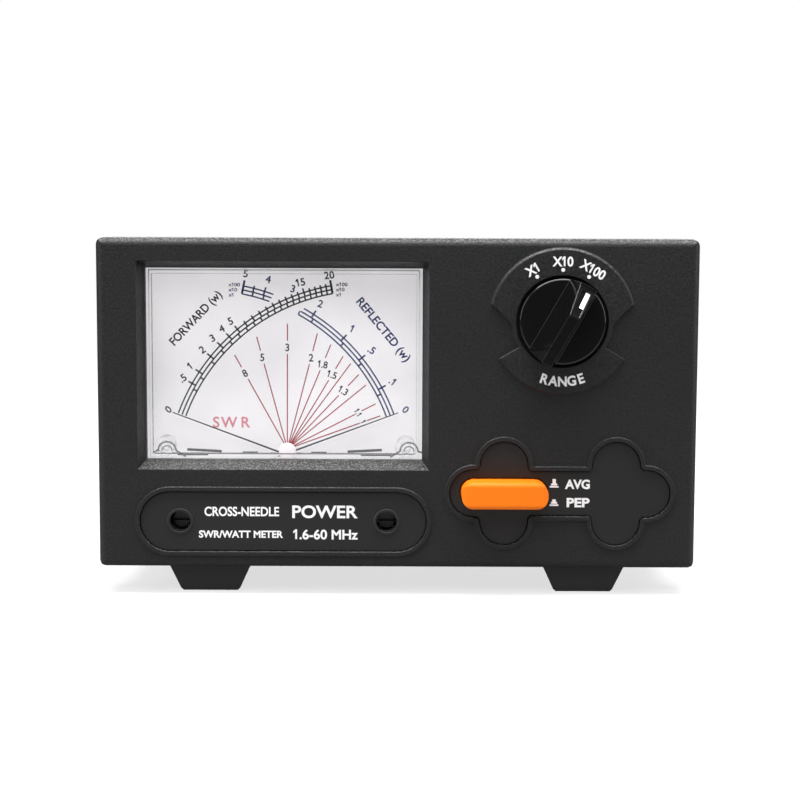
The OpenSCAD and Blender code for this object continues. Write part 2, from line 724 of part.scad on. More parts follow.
// A needle with its hub, tail and pivots; d is the depth of its blade
module needle(d) {
  sheet(d, d + needle_t) rotate(zero_angle) {
    polygon([
      [0, -needle_w / 2], [needle_l, -needle_tip_w / 2],
      [needle_l, needle_tip_w / 2], [0, needle_w / 2]
    ]);
    polygon([[0, 0.5], [-6, 1], [-6, -1], [0, -0.5]]);
    for (a = [-1, 1])
      polygon([[0, 0.5], [a * 0.5, 0], [a * 0.5 - 0.3, a * 3.2], [-a * 0.5 - 0.3, a * 3.2], [-a * 0.5, 0]]);
    circle(r = 1.4, $fn = 48);
  }
  axle(0, 0, 0.7, min(d, forward_d), coil_d);
  axle(0, 0, pivot_r, bridge_d + 0.6, d + 0.1);
}

module forward_needle() color([0.12, 0.12, 0.13]) movement(1) needle(forward_d);
module reflected_needle() color([0.12, 0.12, 0.13]) movement(-1) needle(reflected_d);

// A moving coil on its frame, with the rear pivot
module coil() {
  rotate([0, needle_swing / 2, 0]) difference() {
    translate([-coil_half, coil_d, -coil_tall / 2]) cube([2 * coil_half, coil_end - coil_d, coil_tall]);
    translate([-coil_in, coil_d + coil_t, -coil_tall])
      cube([2 * coil_in, coil_end - coil_d - 2 * coil_t, 2 * coil_tall]);
  }
  axle(0, 0, pivot_r, coil_end - 0.1, frame_d + 0.5);
}

module forward_coil() color([0.72, 0.4, 0.2]) movement(1) coil();
module reflected_coil() color([0.72, 0.4, 0.2]) movement(-1) coil();

// One side of the spiral spring's strip, which ends at the zero lever's stud
function spring_side(out) = [
  for (i = [0:spring_steps])
    let (
      part = i / spring_steps,
      a = stud_turn - 360 * spring_turns * (1 - part),
      r = spring_r0 + out + (spring_r1 - spring_r0) * part
    ) r * [cos(a), sin(a)]
];

// A flat spiral spring
module hairspring() {
  outer = spring_side(spring_w);
  sheet(spring_d, spring_d + 0.4)
    polygon(concat(spring_side(0), [for (i = [spring_steps:-1:0]) outer[i]]));
}

module forward_hairspring() color([0.75, 0.65, 0.4]) movement(1) hairspring();
module reflected_hairspring() color([0.75, 0.65, 0.4]) movement(-1) hairspring();

module yoke() difference() {
  axle(0, 0, yoke_r, yoke_d, yoke_end);
  axle(0, 0, yoke_bore_r, yoke_d - 1, yoke_end + 1);
}

module forward_yoke() color([0.6, 0.6, 0.62]) movement(1) yoke();
module reflected_yoke() color([0.6, 0.6, 0.62]) movement(-1) yoke();

module core_magnets() color([0.35, 0.35, 0.38])
  for (side = [-1, 1]) movement(side) axle(0, 0, core_r, yoke_d, yoke_end);

// The casting behind a yoke: it holds the core on two ribs and the rear jewel in its middle
module frame() difference() {
  union() {
    axle(0, 0, yoke_r, frame_d, frame_d + frame_t);
    difference() {
      axle(0, 0, yoke_r, yoke_end, frame_d + 0.1);
      axle(0, 0, yoke_bore_r + 0.2, yoke_end - 1, frame_d + 1);
    }
    intersection() {
      difference() {
        axle(0, 0, yoke_bore_r, yoke_d, frame_d + 0.1);
        axle(0, 0, core_r, yoke_d - 1, yoke_end);
      }
      sheet(yoke_d, frame_d + 0.1) for (a = [-1, 1])
        polygon([[0, 0], [-5, a * 9], [5, a * 9]]);
    }
  }
  axle(0, 0, core_r + 0.2, yoke_end, frame_d);
  axle(0, 0, jewel_r, frame_d - 1, frame_d + frame_t + 1);
}

module forward_frame() color([0.66, 0.66, 0.68]) movement(1) frame();
module reflected_frame() color([0.66, 0.66, 0.68]) movement(-1) frame();

// The bridge over the front pivot, on two posts
module bridge() difference() {
  union() {
    sheet(bridge_d, bridge_d + bridge_t) rotate(-post_turn) {
      square([2 * post_ring_r, 4], center = true);
      for (x = [-1, 1]) translate([x * post_ring_r, 0]) circle(r = 2, $fn = 48);
      circle(r = 3.2, $fn = 48);
    }
    for (x = [-1, 1])
      axle(x * post_ring_r * cos(post_turn), -x * post_ring_r * sin(post_turn), 1.4, bridge_d + 0.5, yoke_d);
  }
  axle(0, 0, jewel_r, bridge_d - 1, bridge_d + bridge_t + 1);
}

module forward_bridge() color([0.78, 0.78, 0.8]) movement(1) bridge();
module reflected_bridge() color([0.78, 0.78, 0.8]) movement(-1) bridge();

// Four jewel screws: a front and a rear one on each axis
module jewel_screws() color([0.75, 0.62, 0.32])
  for (side = [-1, 1]) movement(side) {
    difference() {
      axle(0, 0, jewel_r, bridge_d - 0.4, lever_d + lever_t + 0.15);
      axle(0, 0, pivot_r + run_gap, bridge_d + 0.3, lever_d + 1);
    }
    difference() {
      axle(0, 0, jewel_r, frame_d - 0.4, frame_d + frame_t + 0.4);
      axle(0, 0, pivot_r + run_gap, frame_d - 1, frame_d + 0.8);
    }
  }

// The lever that carries a hairspring's outer end, moved by the zero adjuster's pin
module zero_lever() difference() {
  union() {
    sheet(lever_d, lever_d + lever_t) {
      circle(r = jewel_r + 1.1, $fn = 64);
      rotate(adjuster_angle) translate([0, -1.2]) square([adjuster_l + adjuster_throw + 1.4, 2.4]);
      rotate(stud_turn) translate([0, -0.6]) square([stud_l + 0.5, 1.2]);
    }
    axle(stud_l * cos(stud_turn), stud_l * sin(stud_turn), stud_r, lever_d, spring_d + 0.4);
  }
  axle(0, 0, jewel_r + run_gap, lever_d - 1, lever_d + 1);
  sheet(lever_d - 1, lever_d + 1) rotate(adjuster_angle)
    translate([adjuster_l - 0.9, -pivot_r - 0.15]) square([adjuster_throw + 4, 2 * pivot_r + 0.3]);
}

module forward_zero_lever() color([0.8, 0.8, 0.82]) movement(1) zero_lever();
module reflected_zero_lever() color([0.8, 0.8, 0.82]) movement(-1) zero_lever();

// A zero adjuster: a slotted head outside the cover and an eccentric pin inside it
module zero_screw() translate([-adjuster_dx, 0, adjuster_dz]) {
  difference() {
    axle(0, 0, 2.2, face_t + 0.6, tube_end - 0.15);
    translate([-3, face_t, -0.35]) cube([6, 1.6, 0.7]);
  }
  axle(0, 0, jewel_r, tube_end - 0.3, tube_end + meter_wall + 0.15);
  axle(0, 0, 2.2, tube_end + meter_wall + 0.1, bridge_d);
  axle(adjuster_throw * cos(adjuster_angle), adjuster_throw * sin(adjuster_angle), pivot_r,
    bridge_d - 0.1, lever_d + lever_t + 0.2);
}

module forward_zero_screw() color([0.1, 0.1, 0.1]) movement(1) zero_screw();
module reflected_zero_screw() color([0.1, 0.1, 0.1]) movement(-1) zero_screw();

// The knob's skirt with a rounded rim
module knob_skirt() rotate([90, 0, 0]) rotate_extrude($fn = 96) {
  translate([0, -knob_base]) square([knob_r, knob_base + knob_skirt_h - 0.6]);
  translate([0, knob_skirt_h - 1]) square([knob_r - 0.6, 1]);
  translate([knob_r - 0.6, knob_skirt_h - 0.6]) circle(r = 0.6, $fn = 32);
}

// The grip bar: sloping sides, a flat top and a nose that slopes down towards the pointer
module grip() intersection() {
  rotate([90, 0, 0]) cylinder(h = knob_out, r = knob_r, $fn = 96);
  translate([0, 0, -big / 2]) linear_extrude(height = big) polygon([
    [-grip_base_w / 2, 0], [grip_base_w / 2, 0],
    [grip_top_w / 2, -knob_out], [-grip_top_w / 2, -knob_out]
  ]);
  translate([-big / 2, 0, 0]) rotate([90, 0, 90]) linear_extrude(height = big) polygon([
    [0, -knob_r - 1], [-knob_out, -knob_r - 1], [-knob_out, nose_z],
    [-knob_out + nose_drop, knob_r - 1], [-knob_out + nose_drop + 1, knob_r + 1], [0, knob_r + 1]
  ]);
}

module knob() color([0.06, 0.06, 0.06]) place(knob_x, 0, knob_z) rotate([0, pointer_angle, 0]) difference() {
  union() {
    knob_skirt();
    grip();
  }
  rotate([-90, 0, 0]) translate([0, 0, -0.9]) cylinder(h = 4, r = 7.6, $fn = 96);
  translate([-groove_w / 2, -knob_out, nose_z]) rotate([-nose_slope, 0, 0])
    translate([0, -2, 0.6]) cube([groove_w, 2 + groove_deep, nose_l - 1.4]);
  rotate([90, 0, 0]) cylinder(h = 9, r = shaft_r, $fn = 64);
}

module range_shaft() color([0.75, 0.75, 0.77]) place(knob_x, 0, knob_z) {
  rotate([-90, 0, 0]) translate([0, 0, -9]) cylinder(h = 9 + face_t + 4, r = shaft_r, $fn = 64);
  rotate([-90, 0, 0]) translate([0, 0, face_t + 3.6]) cylinder(h = 3, r = 8, $fn = 64);
}

module range_switch() color([0.2, 0.2, 0.22]) {
  difference() {
    union() {
      bar(knob_x, knob_z, 12, face_t, face_t + 12);
      bar(knob_x, knob_z, bush_r, -0.5, face_t + 1);
    }
    bar(knob_x, knob_z, shaft_r + run_gap, -2, face_t + 4);
    bar(knob_x, knob_z, 8 + run_gap, face_t + 3.5, face_t + 6.7);
  }
  for (i = [0:11])
    bar(knob_x + 10 * cos(15 + i * 30), knob_z + 10 * sin(15 + i * 30), 0.4, face_t + 11.5, board_back + 1);
}

module range_nut() color([0.78, 0.78, 0.8]) difference() {
  place(knob_x, pocket_d, knob_z) rotate([90, 0, 0]) cylinder(h = 2, r = bush_r + 2.4, $fn = 6);
  bar(knob_x, knob_z, bush_r, -2, pocket_d + 1);
}

module push_button() color([1, 0.45, 0.1]) difference() {
  union() {
    place(switch_x, -button_out, switch_z)
      soft_block(button_w, button_h, button_out + button_in + 0.5, button_r, button_edge_r);
    slab(button_in, button_in + button_flange) button_outline(1.2);
  }
  block(switch_x - 2, switch_x + 2, button_in - 4, button_in + 3, switch_z - 2, switch_z + 2);
}

module push_plunger() color([0.9, 0.9, 0.88])
  block(switch_x - 2, switch_x + 2, button_in - 4, switch_front + 4, switch_z - 2, switch_z + 2);

module push_switch() color([0.15, 0.15, 0.16]) {
  difference() {
    block(switch_x - 4.5, switch_x + 4.5, switch_front, board_depth, switch_z - 4.5, switch_z + 4.5);
    block(switch_x - 2.2, switch_x + 2.2, switch_front - 1, switch_front + 4.5 + button_travel,
      switch_z - 2.2, switch_z + 2.2);
  }
  for (x = [-1:1], z = [-1, 1])
    bar(switch_x + x * 2.5, switch_z + z * 3, 0.35, board_depth - 0.5, board_back + 1);
}

module control_board() color([0.1, 0.4, 0.2]) difference() {
  block(board_x0, board_x1, board_depth, board_back, -board_half_h, board_half_h);
  for (x = [-1, 1], z = [-1, 1])
    bar(board_mid_x + x * board_screw_x, z * board_screw_z, 1.35, board_depth - 1, board_back + 1);
  for (a = [range_step / 2:range_step:359])
    bar(knob_x + pin_ring_r * cos(a), knob_z + pin_ring_r * sin(a), 0.5, board_depth - 1, board_back + 1);
  for (x = [-1:1], z = [-1, 1])
    bar(switch_x + x * 2.5, switch_z + z * 3, 0.45, board_depth - 1, board_back + 1);
}

// Two can capacitors and two eight-pin chips on the back of the control board
module board_parts() {
  color([0.2, 0.2, 0.35]) for (x = [-8, 0]) bar(board_mid_x + x - 6, -31, 3.2, board_back, board_back + 11);
  color([0.1, 0.1, 0.1]) for (x = [-14, 2])
    block(board_mid_x + x - 4.8, board_mid_x + x + 4.8, board_back, board_back + 3.4, 0.5, 6.9);
}

module trimmers() color([0.15, 0.3, 0.7])
  for (z = [forward_trim_z, reflected_trim_z]) difference() {
    block(trim_x - trim_half, trim_x + trim_half, board_back, board_back + 4.5, z - trim_half, z + trim_half);
    bar(trim_x, z, trim_rotor_r + run_gap, board_back + 1.5, board_back + 5);
  }

// The slotted rotor of a calibration trimmer
module trimmer_rotor(z) difference() {
  bar(trim_x, z, trim_rotor_r, board_back + 1.5, board_back + 5);
  block(trim_x - 3, trim_x + 3, board_back + 4.2, board_back + 6, z - 0.3, z + 0.3);
}

module forward_trimmer() color([0.9, 0.9, 0.9]) trimmer_rotor(forward_trim_z);
module reflected_trimmer() color([0.9, 0.9, 0.9]) trimmer_rotor(reflected_trim_z);

// Runs children at the eight socket screws, their seats on the flanges
module socket_screw_places()
  for (s = [-1, 1], x = [-1, 1], z = [-1, 1])
    place(s * socket_gap / 2 + x * socket_screw_in, body_d + 2, socket_z + z * socket_screw_in)
      rotate([-90, 0, 0]) children();

// The coupler's tinned box, open to the front
module coupler_box() color([0.7, 0.71, 0.73]) difference() {
  block(-box_half_w, box_half_w, box_front, box_back, socket_z - box_half_h, socket_z + box_half_h);
  block(-box_half_w + box_wall, box_half_w - box_wall, box_front - 1, box_back - 1,
    socket_z - box_half_h + box_wall, socket_z + box_half_h - box_wall);
  for (x = [-1, 1]) bar(x * socket_gap / 2, socket_z, barrel_r - 0.4, box_back - 3, box_back + 1);
  socket_screw_places() cylinder(h = 30, r = screw_r + 0.1, center = true, $fn = 32);
  bar(0, socket_z - box_half_h + 6, 2.5, box_back - 3, box_back + 1);
}

module coupler_lid() color([0.72, 0.73, 0.75]) difference() {
  block(-box_half_w - box_wall, box_half_w + box_wall, box_front - box_wall, box_front + 5,
    socket_z - box_half_h - box_wall, socket_z + box_half_h + box_wall);
  block(-box_half_w, box_half_w, box_front, box_front + 6, socket_z - box_half_h, socket_z + box_half_h);
}

// The through line between the two centre contacts
module line_rod() color([0.8, 0.6, 0.25]) place(0, rod_d, socket_z) rotate([0, 90, 0])
  cylinder(h = socket_gap + 4, r = 1.2, center = true, $fn = 48);

module toroids() color([0.3, 0.3, 0.32])
  for (x = [-1, 1]) place(x * 9, rod_d, socket_z) rotate([0, 90, 0]) difference() {
    cylinder(h = 5, r = 6.4, center = true, $fn = 96);
    cylinder(h = 6, r = 1.2, center = true, $fn = 48);
  }

module coupler_board() color([0.1, 0.4, 0.2])
  block(-box_half_w + 4, box_half_w - 4, rod_d - 10, rod_d - 10 + board_t,
    socket_z - box_half_h + box_wall, socket_z + box_half_h - box_wall);

// A coaxial socket: a square flange and a threaded barrel
module socket(x) difference() {
  union() {
    translate([x, 0, socket_z]) slab(body_d, body_d + 2) round_rect(flange_w, flange_w, 1.5);
    bar(x, socket_z, barrel_r, body_d, body_d + socket_out);
    bar(x, socket_z, barrel_r - 0.4, rear_in - 1, body_d + 1);
  }
  bar(x, socket_z, 6.2, body_d + 4, body_d + socket_out + 1);
  bar(x, socket_z, 5, rear_in - 2, body_d + 5);
  for (dx = [-1, 1], dz = [-1, 1])
    bar(x + dx * socket_screw_in, socket_z + dz * socket_screw_in, screw_r + 0.1, body_d - 1, body_d + 3);
}

module socket_transmitter() color([0.8, 0.8, 0.82]) socket(socket_gap / 2);
module socket_antenna() color([0.8, 0.8, 0.82]) socket(-socket_gap / 2);

module socket_insulators() color([0.93, 0.92, 0.88])
  for (x = [-1, 1]) difference() {
    union() {
      bar(x * socket_gap / 2, socket_z, 6.2, body_d + 4, body_d + 8);
      bar(x * socket_gap / 2, socket_z, 5, rear_in - 3, body_d + 4.5);
    }
    bar(x * socket_gap / 2, socket_z, contact_r + 0.8, rear_in - 4, body_d + 9);
  }

module socket_contacts() color([0.85, 0.7, 0.35])
  for (x = [-1, 1]) difference() {
    bar(x * socket_gap / 2, socket_z, contact_r + 0.8, rod_d - 2.2, body_d + 15);
    bar(x * socket_gap / 2, socket_z, contact_r, body_d + 4, body_d + 16);
    place(x * socket_gap / 2, rod_d, socket_z) rotate([0, 90, 0])
      cylinder(h = 10, r = 1.2, center = true, $fn = 48);
  }

module socket_screws() color([0.75, 0.75, 0.77]) socket_screw_places() {
  pan_screw(2 + rear_t + 4.5, screw_r);
  translate([0, 0, -2 - rear_t - 1 - 2.4]) cylinder(h = 2.4, r = 3, $fn = 6);
}

module power_jack() color([0.07, 0.07, 0.07]) difference() {
  union() {
    bar(jack_x, jack_z, 4, rear_in, body_d + 1);
    bar(jack_x, jack_z, 5.5, body_d, body_d + 1.8);
    block(jack_x - 5, jack_x + 5, rear_in - 12, rear_in, jack_z - 5, jack_z + 5);
  }
  difference() {
    bar(jack_x, jack_z, 2.8, rear_in - 8, body_d + 3);
    bar(jack_x, jack_z, 1.05, rear_in - 9, body_d);
  }
}

front_panel();
switch_plate();
badge_plate();
top_cover();
chassis();
rear_panel();
foot_front_left();
foot_front_right();
foot_rear_left();
foot_rear_right();
foot_screws();
case_screws();
panel_screws();
meter_cover();
meter_case();
meter_screws();
dial_plate();
lamp_board();
lamps();
forward_needle();
reflected_needle();
forward_coil();
reflected_coil();
forward_hairspring();
reflected_hairspring();
forward_yoke();
reflected_yoke();
core_magnets();
forward_frame();
reflected_frame();
forward_bridge();
reflected_bridge();
jewel_screws();
forward_zero_lever();
reflected_zero_lever();
forward_zero_screw();
reflected_zero_screw();
knob();
range_shaft();
range_switch();
range_nut();
push_button();
push_plunger();
push_switch();
control_board();
board_parts();
trimmers();
forward_trimmer();
reflected_trimmer();
coupler_box();
coupler_lid();
line_rod();
toroids();
coupler_board();
socket_transmitter();
socket_antenna();
socket_insulators();
socket_contacts();
socket_screws();
power_jack();
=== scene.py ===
"""Finishes, prints and studio for a cross-needle SWR meter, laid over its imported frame."""

import json
import math

import bpy
from bpy.props import FloatProperty, FloatVectorProperty, PointerProperty, StringProperty
from mathutils import Matrix, Vector


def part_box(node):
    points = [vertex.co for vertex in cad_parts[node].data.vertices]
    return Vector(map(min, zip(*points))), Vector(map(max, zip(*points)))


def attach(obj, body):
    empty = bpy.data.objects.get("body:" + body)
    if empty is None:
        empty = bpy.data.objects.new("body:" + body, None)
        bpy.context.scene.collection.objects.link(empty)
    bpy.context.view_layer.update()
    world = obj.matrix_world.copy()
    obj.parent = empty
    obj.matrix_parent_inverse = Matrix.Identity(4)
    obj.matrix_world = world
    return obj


bl_info = {
    "name": "Cross-needle SWR meter",
    "version": (1, 0, 0),
    "blender": (4, 5, 0),
    "location": "View3D > Sidebar > SWR meter",
    "description": "Finishes, printed scales and sockets of a cross-needle SWR meter",
    "category": "Object",
}

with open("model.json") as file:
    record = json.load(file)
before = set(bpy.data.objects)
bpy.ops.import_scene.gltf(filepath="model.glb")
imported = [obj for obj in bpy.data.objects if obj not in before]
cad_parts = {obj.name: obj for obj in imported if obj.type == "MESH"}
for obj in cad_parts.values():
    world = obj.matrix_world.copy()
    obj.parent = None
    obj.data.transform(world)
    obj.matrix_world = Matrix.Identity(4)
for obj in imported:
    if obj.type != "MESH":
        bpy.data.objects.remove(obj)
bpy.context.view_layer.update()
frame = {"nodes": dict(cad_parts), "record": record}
MM = 0.001

# ---------------------------------------------------------------- places

PANEL_LOW, PANEL_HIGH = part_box("rear_panel")
DIAL_LOW, DIAL_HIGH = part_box("dial_plate")
DIAL_DEPTH = 13.0
FACE_Y = DIAL_LOW.y / MM - DIAL_DEPTH
MIDDLE_Z = (PANEL_LOW.z + PANEL_HIGH.z) / 2 / MM
WINDOW_X = (DIAL_LOW.x + DIAL_HIGH.x) / 2 / MM
KNOB_LOW, KNOB_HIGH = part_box("knob")
KNOB_X = (KNOB_LOW.x + KNOB_HIGH.x) / 2 / MM
KNOB_Z = (KNOB_LOW.z + KNOB_HIGH.z) / 2 / MM - MIDDLE_Z
WINDOW_Z = 9.86
COVER_INNER = 6.3
INK_LAYER = 0.03
INLAY_DEPTH = 0.2


def at(x, depth, z):
    """A point in metres from millimetres right of, behind and above the middle of the panel's face."""
    return Vector((x, FACE_Y + depth, MIDDLE_Z + z)) * MM


# ---------------------------------------------------------------- settings


def length(name, text, value, low=0.0):
    return FloatProperty(name=name, description=text, default=value * MM, min=low, unit="LENGTH")


def colour(name, text, value):
    return FloatVectorProperty(
        name=name, description=text, default=value, size=3, min=0, max=1, subtype="COLOR"
    )


class SwrCaseSettings(bpy.types.PropertyGroup):
    plastic: colour("Case plastic", "Colour of the moulded front panel", (0.0115, 0.0118, 0.0122))
    inlay: colour("Inlay plastic", "Colour of the two smooth inlaid plates", (0.0155, 0.0148, 0.0145))
    paint: colour("Cover paint", "Colour of the painted steel cover", (0.014, 0.014, 0.0145))
    rubber: colour("Feet", "Colour of the feet", (0.036, 0.036, 0.0362))
    button: colour("Button", "Colour of the push button", (0.95, 0.19, 0.004))
    knob: colour("Knob", "Colour of the range knob", (0.004, 0.004, 0.0042))
    grain: length("Grain", "Distance between the grains of the moulded texture", 0.55)


class SwrDialSettings(bpy.types.PropertyGroup):
    black_ink: colour("Black ink", "Ink of the forward scale and the numbers", (0.01, 0.01, 0.012))
    blue_ink: colour("Blue ink", "Ink of the reflected scale", (0.006, 0.03, 0.17))
    red_ink: colour("Red ink", "Ink of the ratio lines", (0.42, 0.012, 0.024))
    pink_ink: colour("Pink ink", "Ink of the large letters", (0.9, 0.3, 0.36))
    arc_radius: length("Arc radius", "Radius of each scale's outer line about its pivot", 53.3)
    arc_step: length("Arc step", "Distance between a scale's three lines", 1.05)
    number_radius: length("Number radius", "Radius of the scale numbers about their pivot", 56.2)
    line: length("Line", "Width of a scale line", 0.38)
    number_height: length("Number height", "Height of a scale number", 2.0)
    letter_weight: length("Letter weight", "How much bolder a number is on each side", 0.055)
    title_weight: length("Title weight", "How much bolder a title is on each side", 0.07)


class SwrPrintSettings(bpy.types.PropertyGroup):
    ink: colour("White ink", "Ink of the lettering on the panel", (0.86, 0.86, 0.86))
    name_text: StringProperty(
        name="Name line", description="Upper line on the badge", default="CROSS-NEEDLE"
    )
    kind_text: StringProperty(
        name="Kind line", description="Lower line on the badge", default="SWR/WATT METER"
    )


class SwrStudioSettings(bpy.types.PropertyGroup):
    floor: colour("Floor", "Colour of the floor", (0.86, 0.86, 0.87))
    lens: FloatProperty(name="Lens", description="Focal length for a 36 mm sensor", default=78.55, min=10)
    distance: length("Distance", "Camera distance in front of the panel", 447.6)
    pitch: FloatProperty(
        name="Pitch", description="How far the camera looks down", default=math.radians(5.95), subtype="ANGLE"
    )
    roll: FloatProperty(
        name="Roll", description="Turn of the camera about its axis", default=math.radians(0.22),
        subtype="ANGLE",
    )
    over_light: FloatProperty(name="Overhead light", description="Power of the softbox above", default=14)
    front_light: FloatProperty(name="Front light", description="Power of the front softbox", default=5)
    back_light: FloatProperty(name="Back light", description="Power of the softbox behind", default=14)
    side_light: FloatProperty(name="Side light", description="Power of each softbox at the sides", default=3)


# ---------------------------------------------------------------- shader groups


def group(name, inputs, outputs):
    """A new shader node group with its sockets, and its two end nodes."""
    tree = bpy.data.node_groups.new(name, "ShaderNodeTree")
    for text, kind, value in inputs:
        socket = tree.interface.new_socket(text, in_out="INPUT", socket_type=kind)
        socket.default_value = value
    for text, kind in outputs:
        tree.interface.new_socket(text, in_out="OUTPUT", socket_type=kind)
    return tree, tree.nodes.new("NodeGroupInput"), tree.nodes.new("NodeGroupOutput")


def node(tree, kind, **values):
    """A node with its settings and unlinked inputs."""
    made = tree.nodes.new(kind)
    for key, value in values.items():
        if key.startswith("in_"):
            made.inputs[int(key[3:])].default_value = value
        else:
            setattr(made, key, value)
    return made


def maths(tree, operation, first, second=None, clamp=False):
    """A Math node fed by sockets or numbers."""
    made = node(tree, "ShaderNodeMath", operation=operation, use_clamp=clamp)
    for slot, value in enumerate((first, second)):
        if value is None:
            continue
        if isinstance(value, (int, float)):
            made.inputs[slot].default_value = value
        else:
            tree.links.new(value, made.inputs[slot])
    return made.outputs[0]


def blend(tree, share, first, second):
    """A colour mix of two sockets or colours."""
    made = node(tree, "ShaderNodeMix", data_type="RGBA")
    for slot, value in ((0, share), (6, first), (7, second)):
        if isinstance(value, (int, float)):
            made.inputs[slot].default_value = value
        elif isinstance(value, (tuple, list)):
            made.inputs[slot].default_value = (*value[:3], 1)
        else:
            tree.links.new(value, made.inputs[slot])
    return made.outputs[2]


def grain_group():
    """Fine moulded or cast grain: colour, roughness and height that vary over the surface."""
    tree, gin, out = group(
        "surface_grain",
        [
            ("Color", "NodeSocketColor", (0.5, 0.5, 0.5, 1)),
            ("Roughness", "NodeSocketFloat", 0.5),
            ("Scale", "NodeSocketFloat", 2400.0),
            ("Contrast", "NodeSocketFloat", 0.3),
            ("Roughness Spread", "NodeSocketFloat", 0.12),
        ],
        [("Color", "NodeSocketColor"), ("Roughness", "NodeSocketFloat"), ("Height", "NodeSocketFloat")],
    )
    place = node(tree, "ShaderNodeTexCoord")
    fine = node(tree, "ShaderNodeTexNoise", in_3=3.0, in_4=0.62)
    broad = node(tree, "ShaderNodeTexNoise", in_2=34.0, in_3=3.0)
    for texture in (fine, broad):
        tree.links.new(place.outputs["Object"], texture.inputs["Vector"])
    tree.links.new(gin.outputs["Scale"], fine.inputs["Scale"])
    centred = maths(tree, "SUBTRACT", fine.outputs["Fac"], 0.5)
    swing = maths(tree, "MULTIPLY", centred, gin.outputs["Contrast"])
    drift = maths(tree, "MULTIPLY", maths(tree, "SUBTRACT", broad.outputs["Fac"], 0.5), 0.28)
    gain = maths(tree, "ADD", maths(tree, "ADD", swing, drift), 1.0)
    scaled = node(tree, "ShaderNodeVectorMath", operation="SCALE")
    tree.links.new(gin.outputs["Color"], scaled.inputs[0])
    tree.links.new(gain, scaled.inputs["Scale"])
    tree.links.new(scaled.outputs[0], out.inputs["Color"])
    rough = maths(tree, "MULTIPLY", centred, gin.outputs["Roughness Spread"])
    rough = maths(tree, "ADD", rough, maths(tree, "MULTIPLY", drift, 0.25))
    rough = maths(tree, "ADD", rough, gin.outputs["Roughness"], clamp=True)
    tree.links.new(rough, out.inputs["Roughness"])
    tree.links.new(fine.outputs["Fac"], out.inputs["Height"])
    return tree


def edge_group():
    """Soft moulded edges: a rounded normal, and a mask that is bright along the edges, where light and shade
    are painted into the colour.
    """
    tree, gin, out = group(
        "soft_edges_painted_shading",
        [("Radius", "NodeSocketFloat", 0.0003), ("Break Up", "NodeSocketFloat", 0.5)],
        [("Mask", "NodeSocketFloat"), ("Normal", "NodeSocketVector")],
    )
    bevel = node(tree, "ShaderNodeBevel", samples=6)
    tree.links.new(gin.outputs["Radius"], bevel.inputs["Radius"])
    geometry = node(tree, "ShaderNodeNewGeometry")
    dot = node(tree, "ShaderNodeVectorMath", operation="DOT_PRODUCT")
    tree.links.new(bevel.outputs[0], dot.inputs[0])
    tree.links.new(geometry.outputs["Normal"], dot.inputs[1])
    edge = maths(tree, "MULTIPLY", maths(tree, "SUBTRACT", 1.0, dot.outputs["Value"]), 5.0, clamp=True)
    place = node(tree, "ShaderNodeTexCoord")
    # Noise that breaks up the painted edge light and shade along the rims
    rim_breakup_noise = node(tree, "ShaderNodeTexNoise", in_2=1500.0, in_3=3.0)
    tree.links.new(place.outputs["Object"], rim_breakup_noise.inputs["Vector"])
    rim_breakup = maths(tree, "MULTIPLY", maths(tree, "SUBTRACT", rim_breakup_noise.outputs["Fac"], 0.4), 5.0, clamp=True)
    patchy = maths(tree, "SUBTRACT", 1.0, maths(tree, "MULTIPLY", rim_breakup, gin.outputs["Break Up"]))
    tree.links.new(maths(tree, "MULTIPLY", edge, patchy, clamp=True), out.inputs["Mask"])
    tree.links.new(bevel.outputs[0], out.inputs["Normal"])
    return tree


def dust_group():
    """Speckles on faces that look up: fine settled dust, and a painted sheen that stands in for the overhead
    light on the sill and the top edge.
    """
    tree, gin, out = group(
        "settled_dust", [("Amount", "NodeSocketFloat", 0.1)], [("Mask", "NodeSocketFloat")]
    )
    place = node(tree, "ShaderNodeTexCoord")
    up = node(tree, "ShaderNodeSeparateXYZ")
    tree.links.new(place.outputs["Normal"], up.inputs[0])
    speck = node(tree, "ShaderNodeTexNoise", in_2=2300.0, in_3=2.0, in_4=0.6)
    tree.links.new(place.outputs["Object"], speck.inputs["Vector"])
    risen = maths(tree, "MULTIPLY", maths(tree, "SUBTRACT", up.outputs["Z"], 0.35), 1.5, clamp=True)
    sharp = maths(tree, "MULTIPLY", maths(tree, "SUBTRACT", speck.outputs["Fac"], 0.5), 11.0, clamp=True)
    mask = maths(tree, "MULTIPLY", risen, sharp)
    tree.links.new(maths(tree, "MULTIPLY", mask, gin.outputs["Amount"], clamp=True), out.inputs["Mask"])
    return tree


def brush_group():
    """Drawn or brushed metal: long fine scratches along X."""
    tree, gin, out = group(
        "brushed_lines",
        [
            ("Scale", "NodeSocketFloat", 2600.0),
            ("Roughness", "NodeSocketFloat", 0.3),
            ("Spread", "NodeSocketFloat", 0.2),
        ],
        [("Roughness", "NodeSocketFloat"), ("Height", "NodeSocketFloat")],
    )
    place = node(tree, "ShaderNodeTexCoord")
    stretch = node(tree, "ShaderNodeVectorMath", operation="MULTIPLY")
    stretch.inputs[1].default_value = (0.04, 1.0, 1.0)
    tree.links.new(place.outputs["Object"], stretch.inputs[0])
    lines = node(tree, "ShaderNodeTexNoise", in_3=2.0)
    tree.links.new(stretch.outputs[0], lines.inputs["Vector"])
    tree.links.new(gin.outputs["Scale"], lines.inputs["Scale"])
    centred = maths(tree, "SUBTRACT", lines.outputs["Fac"], 0.5)
    swing = maths(tree, "MULTIPLY", centred, gin.outputs["Spread"])
    rough = maths(tree, "ADD", swing, gin.outputs["Roughness"])
    tree.links.new(rough, out.inputs["Roughness"])
    tree.links.new(lines.outputs["Fac"], out.inputs["Height"])
    return tree


GROUPS = {}


def effect(tree, name, **values):
    """Places a shader group in a material with this material's own values."""
    made = node(tree, "ShaderNodeGroup", node_tree=GROUPS[name])
    for key, value in values.items():
        made.inputs[key.replace("_", " ").title()].default_value = value
    return made


